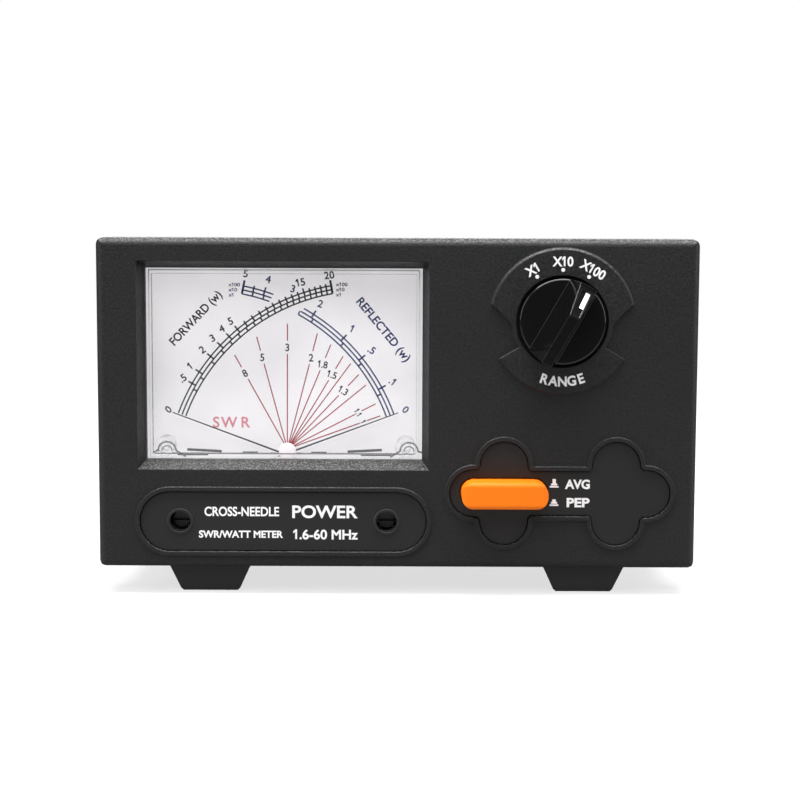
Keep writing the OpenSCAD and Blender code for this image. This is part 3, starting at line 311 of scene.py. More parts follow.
def shader(name, rough=0.5, metal=0.0, coat=0.0, coat_rough=0.1, specular=0.5, ior=1.5):
    """A material with its Principled shader and output."""
    made = bpy.data.materials.new(name)
    made.use_nodes = True
    tree = made.node_tree
    principled = tree.nodes["Principled BSDF"]
    for key, value in {
        "Roughness": rough,
        "Metallic": metal,
        "Coat Weight": coat,
        "Coat Roughness": coat_rough,
        "Specular IOR Level": specular,
        "IOR": ior,
    }.items():
        principled.inputs[key].default_value = value
    return made, tree, principled


def finish_surface(
    name, tint, rough=0.5, metal=0.0, grain=2400.0, contrast=0.3, spread=0.12, bump=0.0, bump_depth=0.02,
    edge=0.25, painted_edge_shading=None, painted_edge_shading_share=0.5, dust=0.0, coat=0.0, coat_rough=0.1, specular=0.5,
    brushed=False, painted_glow=0.0,
):
    """A finish with grain, soft edges with painted light and shade along them, a little dust with a painted
    sheen, and, if asked, a painted glow; every value is this finish's own.
    """
    made, tree, principled = shader(name, rough, metal, coat, coat_rough, specular)
    links = tree.links
    texture = effect(tree, "grain", scale=grain, contrast=contrast, roughness=rough, roughness_spread=spread)
    texture.inputs["Color"].default_value = (*tint, 1)
    shade, roughness, height = texture.outputs
    edges = effect(tree, "edges", radius=edge * MM)
    # Painted edge light: edges blend toward a tint, lighter by default as a painted highlight
    painted_edge_shading = painted_edge_shading or tuple(min(1.0, c * 1.9 + 0.006) for c in tint)
    shade = blend(tree, maths(tree, "MULTIPLY", edges.outputs["Mask"], painted_edge_shading_share), shade, painted_edge_shading)
    # Up-facing faces are speckled lighter: partly dust, partly a painted sheen of the overhead light
    if dust:
        dust_and_sheen_node = effect(tree, "dust", amount=dust)
        shade = blend(tree, dust_and_sheen_node.outputs["Mask"], shade, (0.46, 0.45, 0.43))
    if brushed:
        drawn = effect(tree, "brush", roughness=rough, spread=spread * 2)
        roughness, height = drawn.outputs
    links.new(shade, principled.inputs["Base Color"])
    links.new(roughness, principled.inputs["Roughness"])
    if bump:
        relief = node(tree, "ShaderNodeBump")
        relief.inputs["Strength"].default_value = bump
        relief.inputs["Distance"].default_value = bump_depth * MM
        links.new(height, relief.inputs["Height"])
        links.new(edges.outputs["Normal"], relief.inputs["Normal"])
        links.new(relief.outputs[0], principled.inputs["Normal"])
    else:
        links.new(edges.outputs["Normal"], principled.inputs["Normal"])
    # Painted light: the surface's own colour shines, though it is no lamp
    if painted_glow:
        principled.inputs["Emission Strength"].default_value = painted_glow
        links.new(shade, principled.inputs["Emission Color"])
    return made


def clear_moulding(name, tint, rough=0.03):
    """Clear plastic that lets the studio's lamps through to what is behind it."""
    made, tree, principled = shader(name, rough, ior=1.49)
    links = tree.links
    principled.inputs["Transmission Weight"].default_value = 1.0
    haze = effect(tree, "grain", scale=160.0, contrast=0.02, roughness=rough, roughness_spread=0.03)
    haze.inputs["Color"].default_value = (*tint, 1)
    links.new(haze.outputs["Color"], principled.inputs["Base Color"])
    links.new(haze.outputs["Roughness"], principled.inputs["Roughness"])
    edges = effect(tree, "edges", radius=0.15 * MM)
    links.new(edges.outputs["Normal"], principled.inputs["Normal"])
    through = node(tree, "ShaderNodeBsdfTransparent")
    through.inputs["Color"].default_value = (0.96, 0.96, 0.97, 1)
    path = node(tree, "ShaderNodeLightPath")
    lamps = maths(tree, "MAXIMUM", path.outputs["Is Shadow Ray"], path.outputs["Is Diffuse Ray"])
    mix = node(tree, "ShaderNodeMixShader")
    links.new(lamps, mix.inputs[0])
    links.new(principled.outputs[0], mix.inputs[1])
    links.new(through.outputs[0], mix.inputs[2])
    links.new(mix.outputs[0], tree.nodes["Material Output"].inputs["Surface"])
    return made


# ---------------------------------------------------------------- finishes


def case_finishes(s):
    """Finishes of the case, keyed by the frame's material slots."""
    grain = 1 / s.grain
    return {
        # Edge tints here are painted edge light: lighter rims are painted highlights, the button's darker rim
        # is painted shade
        "case_plastic": dict(
            # The case plastic's large dust amount is mostly a painted sheen on the sill and top edge
            tint=tuple(s.plastic), rough=0.46, grain=grain, contrast=2.4, spread=0.6, bump=0.9,
            bump_depth=0.16, edge=0.4, painted_edge_shading=(0.02, 0.02, 0.0205), painted_edge_shading_share=0.5, dust=0.34,
            specular=0.3,
        ),
        "inlay_plastic": dict(
            tint=tuple(s.inlay), rough=0.42, grain=grain * 1.6, contrast=0.2, spread=0.1, bump=0.2,
            edge=0.2, painted_edge_shading=(0.1, 0.1, 0.1), painted_edge_shading_share=0.8, specular=0.3,
        ),
        "painted_steel": dict(
            tint=tuple(s.paint), rough=0.46, grain=grain * 0.8, contrast=0.35, spread=0.2, bump=0.5,
            bump_depth=0.04, edge=0.3, painted_edge_shading_share=0.5, dust=0.05, specular=0.4,
        ),
        "painted_aluminium": dict(
            tint=tuple(s.paint), rough=0.48, grain=grain * 0.8, contrast=0.35, spread=0.2, bump=0.5,
            bump_depth=0.04, edge=0.3, painted_edge_shading_share=0.5, dust=0.03, specular=0.4,
        ),
        "foot_rubber": dict(
            tint=tuple(s.rubber), rough=0.62, grain=grain * 0.9, contrast=0.4, spread=0.2, bump=0.5,
            bump_depth=0.04, edge=0.35, painted_edge_shading_share=0.5, dust=0.03, specular=0.25,
        ),
        "button_orange": dict(
            tint=tuple(s.button), rough=0.5, grain=900.0, contrast=0.08, spread=0.1, bump=0.08,
            # Darker orange along the button's edges: painted shade
            edge=0.4, painted_edge_shading=(0.7, 0.1, 0.003), painted_edge_shading_share=0.8, specular=0.2,
        ),
        "knob_gloss": dict(
            tint=tuple(s.knob), rough=0.11, grain=700.0, contrast=0.3, spread=0.06, bump=0.02,
            # Grey along the knob's edges: painted highlights
            edge=0.16, painted_edge_shading=(0.09, 0.09, 0.09), painted_edge_shading_share=0.6, specular=0.4,
        ),
    }


METAL_FINISHES = {
    "zinc_steel": dict(tint=(0.58, 0.57, 0.53), rough=0.34, metal=1.0, grain=500.0, brushed=True, bump=0.15,
                       edge=0.15),
    "zinc_screw": dict(tint=(0.62, 0.61, 0.58), rough=0.3, metal=1.0, grain=1500.0, bump=0.12, edge=0.12),
    "black_screw": dict(tint=(0.03, 0.03, 0.03), rough=0.4, metal=0.6, grain=1800.0, bump=0.15, edge=0.12,
                        painted_edge_shading=(0.2, 0.2, 0.2)),
    "copper_wire": dict(tint=(0.72, 0.3, 0.13), rough=0.3, metal=1.0, grain=2600.0, brushed=True, bump=0.5,
                        edge=0.1),
    "bronze": dict(tint=(0.7, 0.47, 0.2), rough=0.3, metal=1.0, grain=2000.0, bump=0.1, edge=0.05),
    "soft_iron": dict(tint=(0.4, 0.4, 0.41), rough=0.38, metal=1.0, grain=1200.0, brushed=True, bump=0.2,
                      edge=0.15),
    "magnet": dict(tint=(0.5, 0.5, 0.5), rough=0.28, metal=1.0, grain=900.0, contrast=0.2, bump=0.1,
                   edge=0.15),
    "cast_alloy": dict(tint=(0.62, 0.62, 0.63), rough=0.42, metal=1.0, grain=1600.0, contrast=0.25, bump=0.35,
                       edge=0.15),
    "brass_part": dict(tint=(0.78, 0.56, 0.24), rough=0.26, metal=1.0, grain=1500.0, bump=0.1, edge=0.1),
    "nickel": dict(tint=(0.66, 0.63, 0.57), rough=0.26, metal=1.0, grain=900.0, contrast=0.12, bump=0.08,
                   edge=0.05),
    "tinplate": dict(tint=(0.7, 0.7, 0.7), rough=0.3, metal=1.0, grain=400.0, contrast=0.25, spread=0.3,
                     bump=0.12, edge=0.15),
}

PLAIN_FINISHES = {
    "black_plastic": dict(tint=(0.02, 0.02, 0.021), rough=0.45, grain=2200.0, bump=0.3, edge=0.2),
    # The dial's glow is painted light: it keeps the dial evenly bright and fills in the shade of the window's
    # recess
    "dial_white": dict(tint=(0.5, 0.485, 0.495), rough=0.6, grain=3200.0, contrast=0.02, spread=0.1,
                       bump=0.06, edge=0.08, painted_edge_shading_share=0.2, painted_glow=1.15),
    "circuit_board": dict(tint=(0.02, 0.13, 0.06), rough=0.35, grain=1400.0, contrast=0.5, bump=0.3, edge=0.1,
                          painted_edge_shading=(0.3, 0.27, 0.14), coat=0.4),
    "needle_black": dict(tint=(0.02, 0.02, 0.022), rough=0.4, grain=3000.0, bump=0.1, edge=0.04),
    "adjuster_white": dict(tint=(0.75, 0.75, 0.73), rough=0.4, grain=1800.0, contrast=0.08, bump=0.1,
                           edge=0.1),
    "trimmer_blue": dict(tint=(0.02, 0.1, 0.42), rough=0.32, grain=1500.0, contrast=0.15, bump=0.1,
                         edge=0.15),
    "ferrite": dict(tint=(0.05, 0.05, 0.052), rough=0.55, grain=2600.0, contrast=0.6, bump=0.5, edge=0.3),
    "white_insulator": dict(tint=(0.82, 0.8, 0.74), rough=0.3, grain=1200.0, contrast=0.06, bump=0.05,
                            edge=0.15),
}

FINISHES = {}


def dress(made, finish):
    """Gives every slot of an object one finish."""
    if not made.material_slots:
        made.data.materials.append(finish)
    for slot in made.material_slots:
        slot.material = finish


# ---------------------------------------------------------------- print and mesh helpers


def prism(outline, other, closed):
    """A strip between two lines of as many points, as the points and faces of a solid one unit thick."""
    count = len(outline)
    points = [(x, y, z) for z in (0.0, 1.0) for line in (outline, other) for x, y in line]
    faces = []
    steps = range(count if closed else count - 1)
    for i in steps:
        j = (i + 1) % count
        a, b, c, d = i, j, count + j, count + i
        faces.append((d, c, b, a))
        faces.append((a + 2 * count, b + 2 * count, c + 2 * count, d + 2 * count))
        faces.append((a, b, b + 2 * count, a + 2 * count))
        faces.append((c, d, d + 2 * count, c + 2 * count))
    if not closed:
        last = count - 1
        faces.append((count, 0, 2 * count, 3 * count))
        faces.append((last, count + last, 3 * count + last, 2 * count + last))
    return points, faces


def arc_points(radius, start, end, centre, step=1.0):
    """Points of an arc in the dial's plane, in millimetres and degrees."""
    count = max(2, int(abs(end - start) / step) + 1)
    turns = [math.radians(start + (end - start) * i / (count - 1)) for i in range(count)]
    return [(centre[0] + radius * math.cos(t), centre[1] + radius * math.sin(t)) for t in turns]


GLYPHS = {}
CAP_HEIGHT = 0.729
ONE_ADVANCE = 0.6


def text_mesh(words, weight):
    """Points and faces of letters with a cap height of one, made bolder by a weight, and their width."""
    curve = bpy.data.curves.new("letters", "FONT")
    curve.body = words
    curve.size = 1 / CAP_HEIGHT
    curve.bevel_depth = weight
    curve.bevel_resolution = 0
    curve.resolution_u = 4
    curve.extrude = 0.5
    made = bpy.data.objects.new("letters", curve)
    bpy.context.scene.collection.objects.link(made)
    mesh = bpy.data.meshes.new_from_object(made.evaluated_get(bpy.context.evaluated_depsgraph_get()))
    thick = 1 + 2 * weight
    points = [(v.co.x, v.co.y, 0.5 - v.co.z / thick) for v in mesh.vertices]
    faces = [tuple(reversed(p.vertices)) for p in mesh.polygons]
    bpy.data.objects.remove(made)
    bpy.data.curves.remove(curve)
    bpy.data.meshes.remove(mesh)
    width = max(p[0] for p in points) - min(p[0] for p in points) if points else 0.0
    return points, faces, width


def figure_one(weight):
    """A figure one with a flag, as a closed solid of one unit's height."""
    stroke = 0.115 + 2 * weight
    right = 0.36 + weight
    left = right - stroke
    outer = [(left, 0.0), (left, 0.72), (left - 0.2, 0.6), (left - 0.2, 0.6 + stroke), (left + 0.02, 1.0)]
    inner = [(right, 0.0), (right, 0.72), (right, 0.8), (right, 0.9), (right, 1.0)]
    points, faces = prism(inner, outer, False)
    return points, faces, ONE_ADVANCE


def glyph(letter, weight):
    """One letter's points, faces and advance at a cap height of one."""
    key = (letter, weight)
    if key not in GLYPHS:
        if letter == "1":
            GLYPHS[key] = figure_one(weight)
        else:
            pair = text_mesh("HH", 0.0)[2]
            advance = text_mesh(f"H{letter}H", 0.0)[2] - pair
            points, faces, _ = text_mesh(letter, weight)
            GLYPHS[key] = (points, faces, advance)
    return GLYPHS[key]


class Ink:
    """Flat work, such as print or ribs, that is gathered into one thin solid piece."""

    def __init__(self, name, depth, layer):
        self.name, self.depth, self.layer = name, depth, layer
        self.points, self.faces = [], []

    def add(self, points, faces):
        base = len(self.points)
        self.points += [
            at(x, self.depth - self.layer * (1 - 2 * thick), z) for x, z, thick in points
        ]
        self.faces += [tuple(base + i for i in face) for face in faces]

    def arc(self, radius, start, end, centre, width, step=1.0):
        inner = arc_points(radius - width / 2, start, end, centre, step)
        outer = arc_points(radius + width / 2, start, end, centre, step)
        self.add(*prism(inner, outer, False))

    def line(self, start, end, width):
        run = Vector((end[0] - start[0], end[1] - start[1])).normalized() * width / 2
        side = Vector((-run.y, run.x))
        ends = [Vector(start), Vector(end)]
        self.add(*prism([tuple(p - side) for p in ends], [tuple(p + side) for p in ends], False))

    def dot(self, centre, radius):
        rim = arc_points(radius, 0, 345, centre, 15)
        core = [centre] * len(rim)
        points, faces = prism(core, rim, True)
        self.add(points, [f for f in faces if not self.flat_face(f, len(rim))])

    @staticmethod
    def flat_face(face, count):
        """True for the side faces along a dot's middle, which has no width."""
        return all(i % (2 * count) < count for i in face)

    def block(self, x0, x1, z0, z1):
        self.add(*prism([(x0, z0), (x1, z0)], [(x0, z1), (x1, z1)], False))

    def text(self, words, size, place, angle=0.0, weight=0.0, stretch=1.0, spacing=1.0, align="CENTER"):
        """Letters of a cap height, set on a place and turned by an angle in degrees."""
        glyphs = [glyph(letter, round(weight / size, 4)) for letter in words]
        total = sum(advance for _, _, advance in glyphs) * spacing
        x0 = {"CENTER": -total / 2, "LEFT": 0.0, "RIGHT": -total}[align]
        turn = math.radians(angle)
        cos, sin = math.cos(turn), math.sin(turn)
        for points, faces, advance in glyphs:
            placed = []
            for gx, gy, thick in points:
                x, y = (x0 + gx) * stretch * size, (gy - 0.5) * size
                placed.append((place[0] + x * cos - y * sin, place[1] + x * sin + y * cos, thick))
            self.add(placed, faces)
            x0 += advance * spacing

    def curved_text(self, words, size, centre, radius, middle, spacing, **values):
        """Letters along the lower side of a circle, each turned to it, around a middle angle in degrees."""
        step = math.degrees(spacing / radius)
        first = middle - step * (len(words) - 1) / 2
        for i, letter in enumerate(words):
            turn = first + step * i
            spot = arc_points(radius, turn, turn + 1, centre)[0]
            self.text(letter, size, spot, turn + 90, **values)

    def piece(self, finish, body="case"):
        return new_piece(self.name, self.points, self.faces, finish, body)


def new_piece(name, points, faces, finish, body, smooth=False):
    """A mesh piece that rides on a body and takes a finish."""
    mesh = bpy.data.meshes.new(name)
    mesh.from_pydata([tuple(p) for p in points], [], faces)
    mesh.validate()
    mesh.update()
    for polygon in mesh.polygons:
        polygon.use_smooth = smooth
    made = bpy.data.objects.new(name, mesh)
    bpy.context.scene.collection.objects.link(made)
    dress(made, finish)
    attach(made, body)
    return made


# ---------------------------------------------------------------- scales

ZERO_ANGLE = 20.4
FORWARD_SWING = 59.4
REFLECTED_SWING = 58.5
PIVOT_HALF_GAP = 21.4
PIVOT_Z = -22.4
FORWARD_PIVOT = (WINDOW_X + PIVOT_HALF_GAP, PIVOT_Z)
REFLECTED_PIVOT = (WINDOW_X - PIVOT_HALF_GAP, PIVOT_Z)
FORWARD_FULL = 20.0
REFLECTED_FULL = 5.0


def needle_angle(share, swing):
    """Needle angle above the horizontal for a share of full power: the current goes with its square root."""
    return ZERO_ANGLE + swing * math.sqrt(share)


def dial_spot(side, radius, angle):
    """A place on the dial, radius and angle about one movement's pivot; side 1 is the forward one."""
    pivot = FORWARD_PIVOT if side > 0 else REFLECTED_PIVOT
    turn = math.radians(angle)
    return (pivot[0] - side * radius * math.cos(turn), pivot[1] + radius * math.sin(turn))


def scale_arc(ink, side, radius, start, end, width):
    """One scale line between two needle angles."""
    pivot = FORWARD_PIVOT if side > 0 else REFLECTED_PIVOT
    if side > 0:
        ink.arc(radius, 180 - start, 180 - end, pivot, width)
    else:
        ink.arc(radius, start, end, pivot, width)


def scale_tick(ink, side, inner, outer, angle, width):
    ink.line(dial_spot(side, inner, angle), dial_spot(side, outer, angle), width)


def number(ink, side, words, radius, angle, size, **values):
    """A number that leans with its scale."""
    lean = (90 - angle) * 0.62
    if side > 0:
        ink.text(words, size, dial_spot(1, radius, angle), lean, **values)
    else:
        ink.text(words, size, dial_spot(-1, radius, angle), -lean, **values)


def multipliers(ink, left, top):
    """The three range multipliers, one to each scale line."""
    for i, words in enumerate(("x100", "x10", "x1")):
        ink.text(words, 0.95, (left, top - 1.35 * i), weight=0.03, stretch=1.2, align="LEFT")


class SWR_OT_finishes(bpy.types.Operator):
    """Build the finishes and give each part of the frame its own"""

    bl_idname = "swr_meter.finishes"
    bl_label = "Finishes"

    def execute(self, context):
        GROUPS.update(grain=grain_group(), edges=edge_group(), dust=dust_group(), brush=brush_group())
        table = {**case_finishes(context.scene.swr_case), **METAL_FINISHES, **PLAIN_FINISHES}
        for slot, values in table.items():
            FINISHES[slot] = finish_surface(slot, **values)
        FINISHES["clear_plastic"] = clear_moulding("clear_plastic", (0.97, 0.975, 0.98))
        FINISHES["lamp_clear"] = clear_moulding("lamp_clear", (0.95, 0.94, 0.88), 0.12)
        for part in frame["record"]["subparts"]:
            dress(frame["nodes"][part["node"]], FINISHES[part["material_slot"]])
        for name in ("forward_zero_screw", "reflected_zero_screw"):
            dress(frame["nodes"][name], FINISHES["black_plastic"])
        return {"FINISHED"}


class SWR_OT_inks(bpy.types.Operator):
    """Mix the printing inks, and the flat colours of the cover's ribs and painted refraction streaks"""

    bl_idname = "swr_meter.inks"
    bl_label = "Inks"

    def execute(self, context):
        dial, panel = context.scene.swr_dial, context.scene.swr_print
        for name, tint in (
            ("black_ink", dial.black_ink), ("blue_ink", dial.blue_ink), ("red_ink", dial.red_ink),
            ("pink_ink", dial.pink_ink), ("white_ink", panel.ink), ("rib_refraction_grey", (0.22, 0.22, 0.23)),
            ("painted_refraction_dark", (0.09, 0.09, 0.09)),
        ):
            FINISHES[name] = finish_surface(
                name, tuple(tint), rough=0.5, grain=6000.0, contrast=0.12, spread=0.1, edge=0.01,
                painted_edge_shading_share=0.1,
            )
        return {"FINISHED"}


class SWR_OT_forward_scale(bpy.types.Operator):
    """Print the forward power scale"""

    bl_idname = "swr_meter.forward_scale"
    bl_label = "Forward scale"

    def execute(self, context):
        s = context.scene.swr_dial
        line, outer, step = s.line / MM, s.arc_radius / MM, s.arc_step / MM
        ink = Ink("forward_scale", DIAL_DEPTH, INK_LAYER)
        full = ZERO_ANGLE + FORWARD_SWING
        for i in range(3):
            scale_arc(ink, 1, outer - i * step, ZERO_ANGLE, full, line)
        for value in (0.5, *range(1, 21)):
            share = value / FORWARD_FULL
            angle = needle_angle(share, FORWARD_SWING)
            lag = 1.5 * (1 - math.sqrt(share))
            reach = 1.15 if value in (0.5, 1, 2, 3, 4, 5, 15) else 0.7
            scale_tick(ink, 1, outer - step, outer + reach, angle, line * 1.15)
            scale_tick(ink, 1, outer - 2 * step, outer - step, angle - lag, line * 1.15)
        scale_tick(ink, 1, outer - 2 * step, outer + 1.5, full, line * 1.5)
        for value in (0, 0.5, 1, 2, 3, 4, 5, 15, 20):
            words = f"{value:g}".replace("0.", ".")
            angle = needle_angle(value / FORWARD_FULL, FORWARD_SWING)
            number(ink, 1, words, s.number_radius / MM, angle, s.number_height / MM,
                   weight=s.letter_weight / MM)
        corner = dial_spot(1, outer, full)
        multipliers(ink, corner[0] + 1.3, corner[1] + 0.4)
        ink.text("FORWARD (w)", 2.3, (-53.4, 21.5), 46.5, weight=s.title_weight / MM, stretch=0.9)
        ink.piece(FINISHES["black_ink"])
        return {"FINISHED"}


class SWR_OT_reflected_scale(bpy.types.Operator):
    """Print the reflected power scale, which stops short where it crosses the forward one"""

    bl_idname = "swr_meter.reflected_scale"
    bl_label = "Reflected scale"

    def execute(self, context):
        s = context.scene.swr_dial
        line, outer, step = s.line / MM, s.arc_radius / MM, s.arc_step / MM
        ink = Ink("reflected_scale", DIAL_DEPTH, INK_LAYER)
        full = ZERO_ANGLE + REFLECTED_SWING
        gap_low, gap_high = 60.6, 70.1
        for i in range(3):
            scale_arc(ink, -1, outer - i * step, ZERO_ANGLE, gap_low + 0.3 * i, line)
            scale_arc(ink, -1, outer - i * step, gap_high + 0.2 * i, full, line)
        scale_tick(ink, -1, outer - 2 * step, outer - step, gap_low + 0.6, line)
        for value in (0.1, 0.5, 1, 2, 4, 4.5):
            share = value / REFLECTED_FULL
            angle = needle_angle(share, REFLECTED_SWING)
            lag = 1.8 * (1 - math.sqrt(share))
            reach = 0.7 if value == 4.5 else 1.15
            scale_tick(ink, -1, outer - step, outer + reach, angle, line * 1.15)
            scale_tick(ink, -1, outer - 2 * step, outer - step, angle - lag, line * 1.15)
        scale_tick(ink, -1, outer - 2 * step, outer + 1.5, full, line * 1.5)
        for value in (0, 0.1, 0.5, 1, 2, 3, 4, 5):
            words = f"{value:g}".replace("0.", ".")
            angle = needle_angle(value / REFLECTED_FULL, REFLECTED_SWING)
            number(ink, -1, words, s.number_radius / MM + 0.5, angle, s.number_height / MM,
                   weight=s.letter_weight / MM)
        corner = dial_spot(-1, outer, full)
        multipliers(ink, corner[0] - 3.9, corner[1] + 0.4)
        ink.text("REFLECTED (w)", 2.3, (-3.6, 18.6), -50.5, weight=s.title_weight / MM, stretch=0.98)
        ink.piece(FINISHES["blue_ink"])
        return {"FINISHED"}


# Each ratio line: its name, its angle from the fan's origin, its length, and where its number stands along it
RATIO_LINES = (
    ("8", 119.0, 28.6, 23.1), ("5", 105.0, 30.9, 25.3), ("3", 89.8, 33.3, 27.1), ("2", 75.4, 31.8, 25.2),
    ("1.8", 67.4, 30.2, 24.5), ("1.5", 59.1, 28.9, 23.2), ("", 53.6, 28.4, 0), ("1.3", 46.4, 27.5, 21.6),
    ("", 39.4, 27.0, 0), ("1.1", 27.4, 26.4, 21.2), ("1", 19.9, 26.2, 21.5),
)


class SWR_OT_ratio_fan(bpy.types.Operator):
    """Print the fan of standing wave ratio lines and their numbers"""

    bl_idname = "swr_meter.ratio_fan"
    bl_label = "Ratio fan"

    def execute(self, context):
        s = context.scene.swr_dial
        line = 0.75 * s.line / MM
        origin = (WINDOW_X + 0.3, -13.3)
        hub = 1.6
        lines = Ink("ratio_lines", DIAL_DEPTH, INK_LAYER)
        numbers = Ink("ratio_numbers", DIAL_DEPTH, INK_LAYER)
        for words, angle, end, spot in RATIO_LINES:
            turn = math.radians(angle)
            run = Vector((math.cos(turn), math.sin(turn)))

            def point(radius):
                return (origin[0] + run.x * radius, origin[1] + run.y * radius)

            small = words in ("1.1", "1")
            half = 1.0 if small else 1.75
            if not words:
                lines.line(point(hub), point(end), line)
                continue
            lines.line(point(hub), point(spot - half), line)
            lines.line(point(spot + half), point(end), line)
            lean = angle - 90
            if small:
                size, slant = 1.55, lean + 2
            elif len(words) > 1:
                size, slant = 1.9, lean + 14
            else:
                size, slant = 2.05, 0.0 if words in ("5", "3", "2") else lean
            numbers.text(words, size, point(spot), slant, weight=0.05, stretch=0.9)
        lines.piece(FINISHES["red_ink"])
        numbers.piece(FINISHES["black_ink"])
        title = Ink("ratio_title", DIAL_DEPTH, INK_LAYER)
        title.text("SWR", 2.95, (WINDOW_X - 14.3, -6.1), 0, weight=0.07, spacing=1.22)
        title.piece(FINISHES["pink_ink"])
        return {"FINISHED"}


def cap(centre, radius, rings=6):
    """A domed cap that bulges to the front, as points and faces of a closed solid one unit thick."""
    points, faces = [], []
    for ring in range(rings):
        lift = math.pi / 2 * ring / rings
        rim = arc_points(radius * math.cos(lift), 0, 345, centre, 15)
        points += [(x, z, 1 - math.sin(lift)) for x, z in rim]
    count = len(points) // rings
    for base in range(0, len(points) - count, count):
        for i in range(count):
            j = (i + 1) % count
            faces.append((base + i, base + j, base + count + j, base + count + i))
    points.append((*centre, 0.0))
    last = len(points) - 1
    faces += [(last - count + i, last - count + (i + 1) % count, last) for i in range(count)]
    faces.append(tuple(reversed(range(count))))
    return points, faces


# Each painted refraction streak beside the middle, a dark line where the clear cover bends the light: outer
# end, inner end and width, from the window's middle and its lowest rib
PAINTED_REFRACTION_STREAKS = (
    (25.5, 0.95, 16.5, 0.5, 0.65), (28.0, -0.45, 20.0, -0.45, 0.3), (11.0, 0.3, 7.0, 0.3, 0.3),
)


class SWR_OT_cover_mouldings(bpy.types.Operator):
    """Mould the frosted dome with its painted glow and the stiffening ribs on the inside of the clear cover,
    and add painted refraction streaks and painted highlights along the cover's edges
    """

    bl_idname = "swr_meter.cover_mouldings"
    bl_label = "Cover mouldings"

    def execute(self, context):
        low = -13.6
        rib_depth = COVER_INNER + 0.2
        rib_width = 0.42
        dome = Ink("cover_dome", COVER_INNER + 0.45, 0.4)
        dome.add(*cap((WINDOW_X + 0.7, -13.1), 2.25))
        # The dome's glow is painted light, making it read whitish and flat rather than shaded like a ball
        glowing_dome_finish = finish_surface("frosted_dome_painted_glow", (0.5, 0.45, 0.46), rough=0.35, grain=900.0, contrast=0.3,
                                 bump=0.2, edge=0.05, painted_glow=1.1)
        new_piece(dome.name, dome.points, dome.faces, glowing_dome_finish, "case", smooth=True)
        # The ribs are real mouldings; their opaque grey is painted shade standing in for how the clear ribs
        # bend the light
        ribs = Ink("cover_ribs", rib_depth, 0.15)
        refraction_streaks = Ink("cover_painted_refraction", rib_depth, 0.12)
        for side in (-1, 1):
            pillar = (WINDOW_X + 0.9 + side * 31.7, -13.0)
            ribs.arc(2.35, 0, 180, pillar, rib_width, 10)
            ribs.arc(1.3, 0, 180, pillar, 0.3, 10)
            for way, reach, drop in ((-side, 2.6, 1.6), (side, 1.3, 0.5)):
                foot = (pillar[0] + way * 2.3, pillar[1] + 0.1)
                ribs.line(foot, (foot[0] + way * reach, foot[1] - drop), rib_width)
            # Painted refraction: dark lines where the clear cover bends the light
            for x0, z0, x1, z1, width in PAINTED_REFRACTION_STREAKS:
                refraction_streaks.line((WINDOW_X + side * x0, low + z0), (WINDOW_X + side * x1, low + z1), width)
        ribs.line((WINDOW_X - 34.0, low - 0.1), (WINDOW_X + 34.0, low - 0.1), 0.28)
        ribs.piece(FINISHES["rib_refraction_grey"])
        refraction_streaks.piece(FINISHES["painted_refraction_dark"])
        # Painted highlights: thin white strips where the cover's front edges catch the light
        painted_edge_highlights = Ink("cover_painted_edge_highlights", rib_depth, 0.12)
        edge_width = 0.3
        for x in (WINDOW_X - 35.3, WINDOW_X + 35.0):
            painted_edge_highlights.block(x, x + edge_width, WINDOW_Z - 24.4, WINDOW_Z + 24.4)
        for z in (WINDOW_Z - 24.6, WINDOW_Z + 24.3):
            painted_edge_highlights.block(WINDOW_X - 35.2, WINDOW_X + 35.2, z, z + edge_width)
        painted_edge_highlights.piece(FINISHES["white_ink"])
        return {"FINISHED"}


# ---------------------------------------------------------------- panel print


class SWR_OT_range_print(bpy.types.Operator):
    """Print the range dots and names around the knob, and the line on the knob's nose"""

    bl_idname = "swr_meter.range_print"
    bl_label = "Range print"

    def execute(self, context):
        plate_depth = -0.9
        dot_radius, name_radius = 13.25, 15.45
        ink = Ink("range_print", plate_depth, INK_LAYER)
        centre = (KNOB_X, KNOB_Z)
        for turn, words in ((30, "X1"), (0, "X10"), (-30, "X100")):
            ink.dot(arc_points(dot_radius, 90 + turn, 91 + turn, centre)[0], 0.5)
            spot = arc_points(name_radius, 90 + turn, 91 + turn, centre)[0]
            ink.text(words, 2.5, spot, turn, weight=0.09, stretch=0.92)
        ink.curved_text("RANGE", 2.55, centre, 15.3, 270.6, 2.38, weight=0.11, stretch=0.94)
        ink.piece(FINISHES["white_ink"])
        return {"FINISHED"}


class SWR_OT_pointer_line(bpy.types.Operator):
    """Fill the groove on the knob's nose with a white line"""

    bl_idname = "swr_meter.pointer_line"
    bl_label = "Pointer line"

    def execute(self, context):
        knob_out, drop, rim, start = 19.0, 6.0, 10.1, 2.5
        slope = drop / (rim - start)
        sunk, thickness = 0.34, 0.25
        left, right, inner, outer = 0.05, 1.15, 5.1, 9.4
        turn = math.radians(-30)
        points, faces = prism([(left, inner), (left, outer)], [(right, inner), (right, outer)], False)
        placed = []
        for x, z, thick in points:
            depth = -knob_out + slope * (z - start) + sunk + thickness * thick
            placed.append(at(KNOB_X + x * math.cos(turn) - z * math.sin(turn), depth,
                             KNOB_Z + x * math.sin(turn) + z * math.cos(turn)))
        new_piece("pointer_line", placed, faces, FINISHES["white_ink"], "range_control")
        return {"FINISHED"}


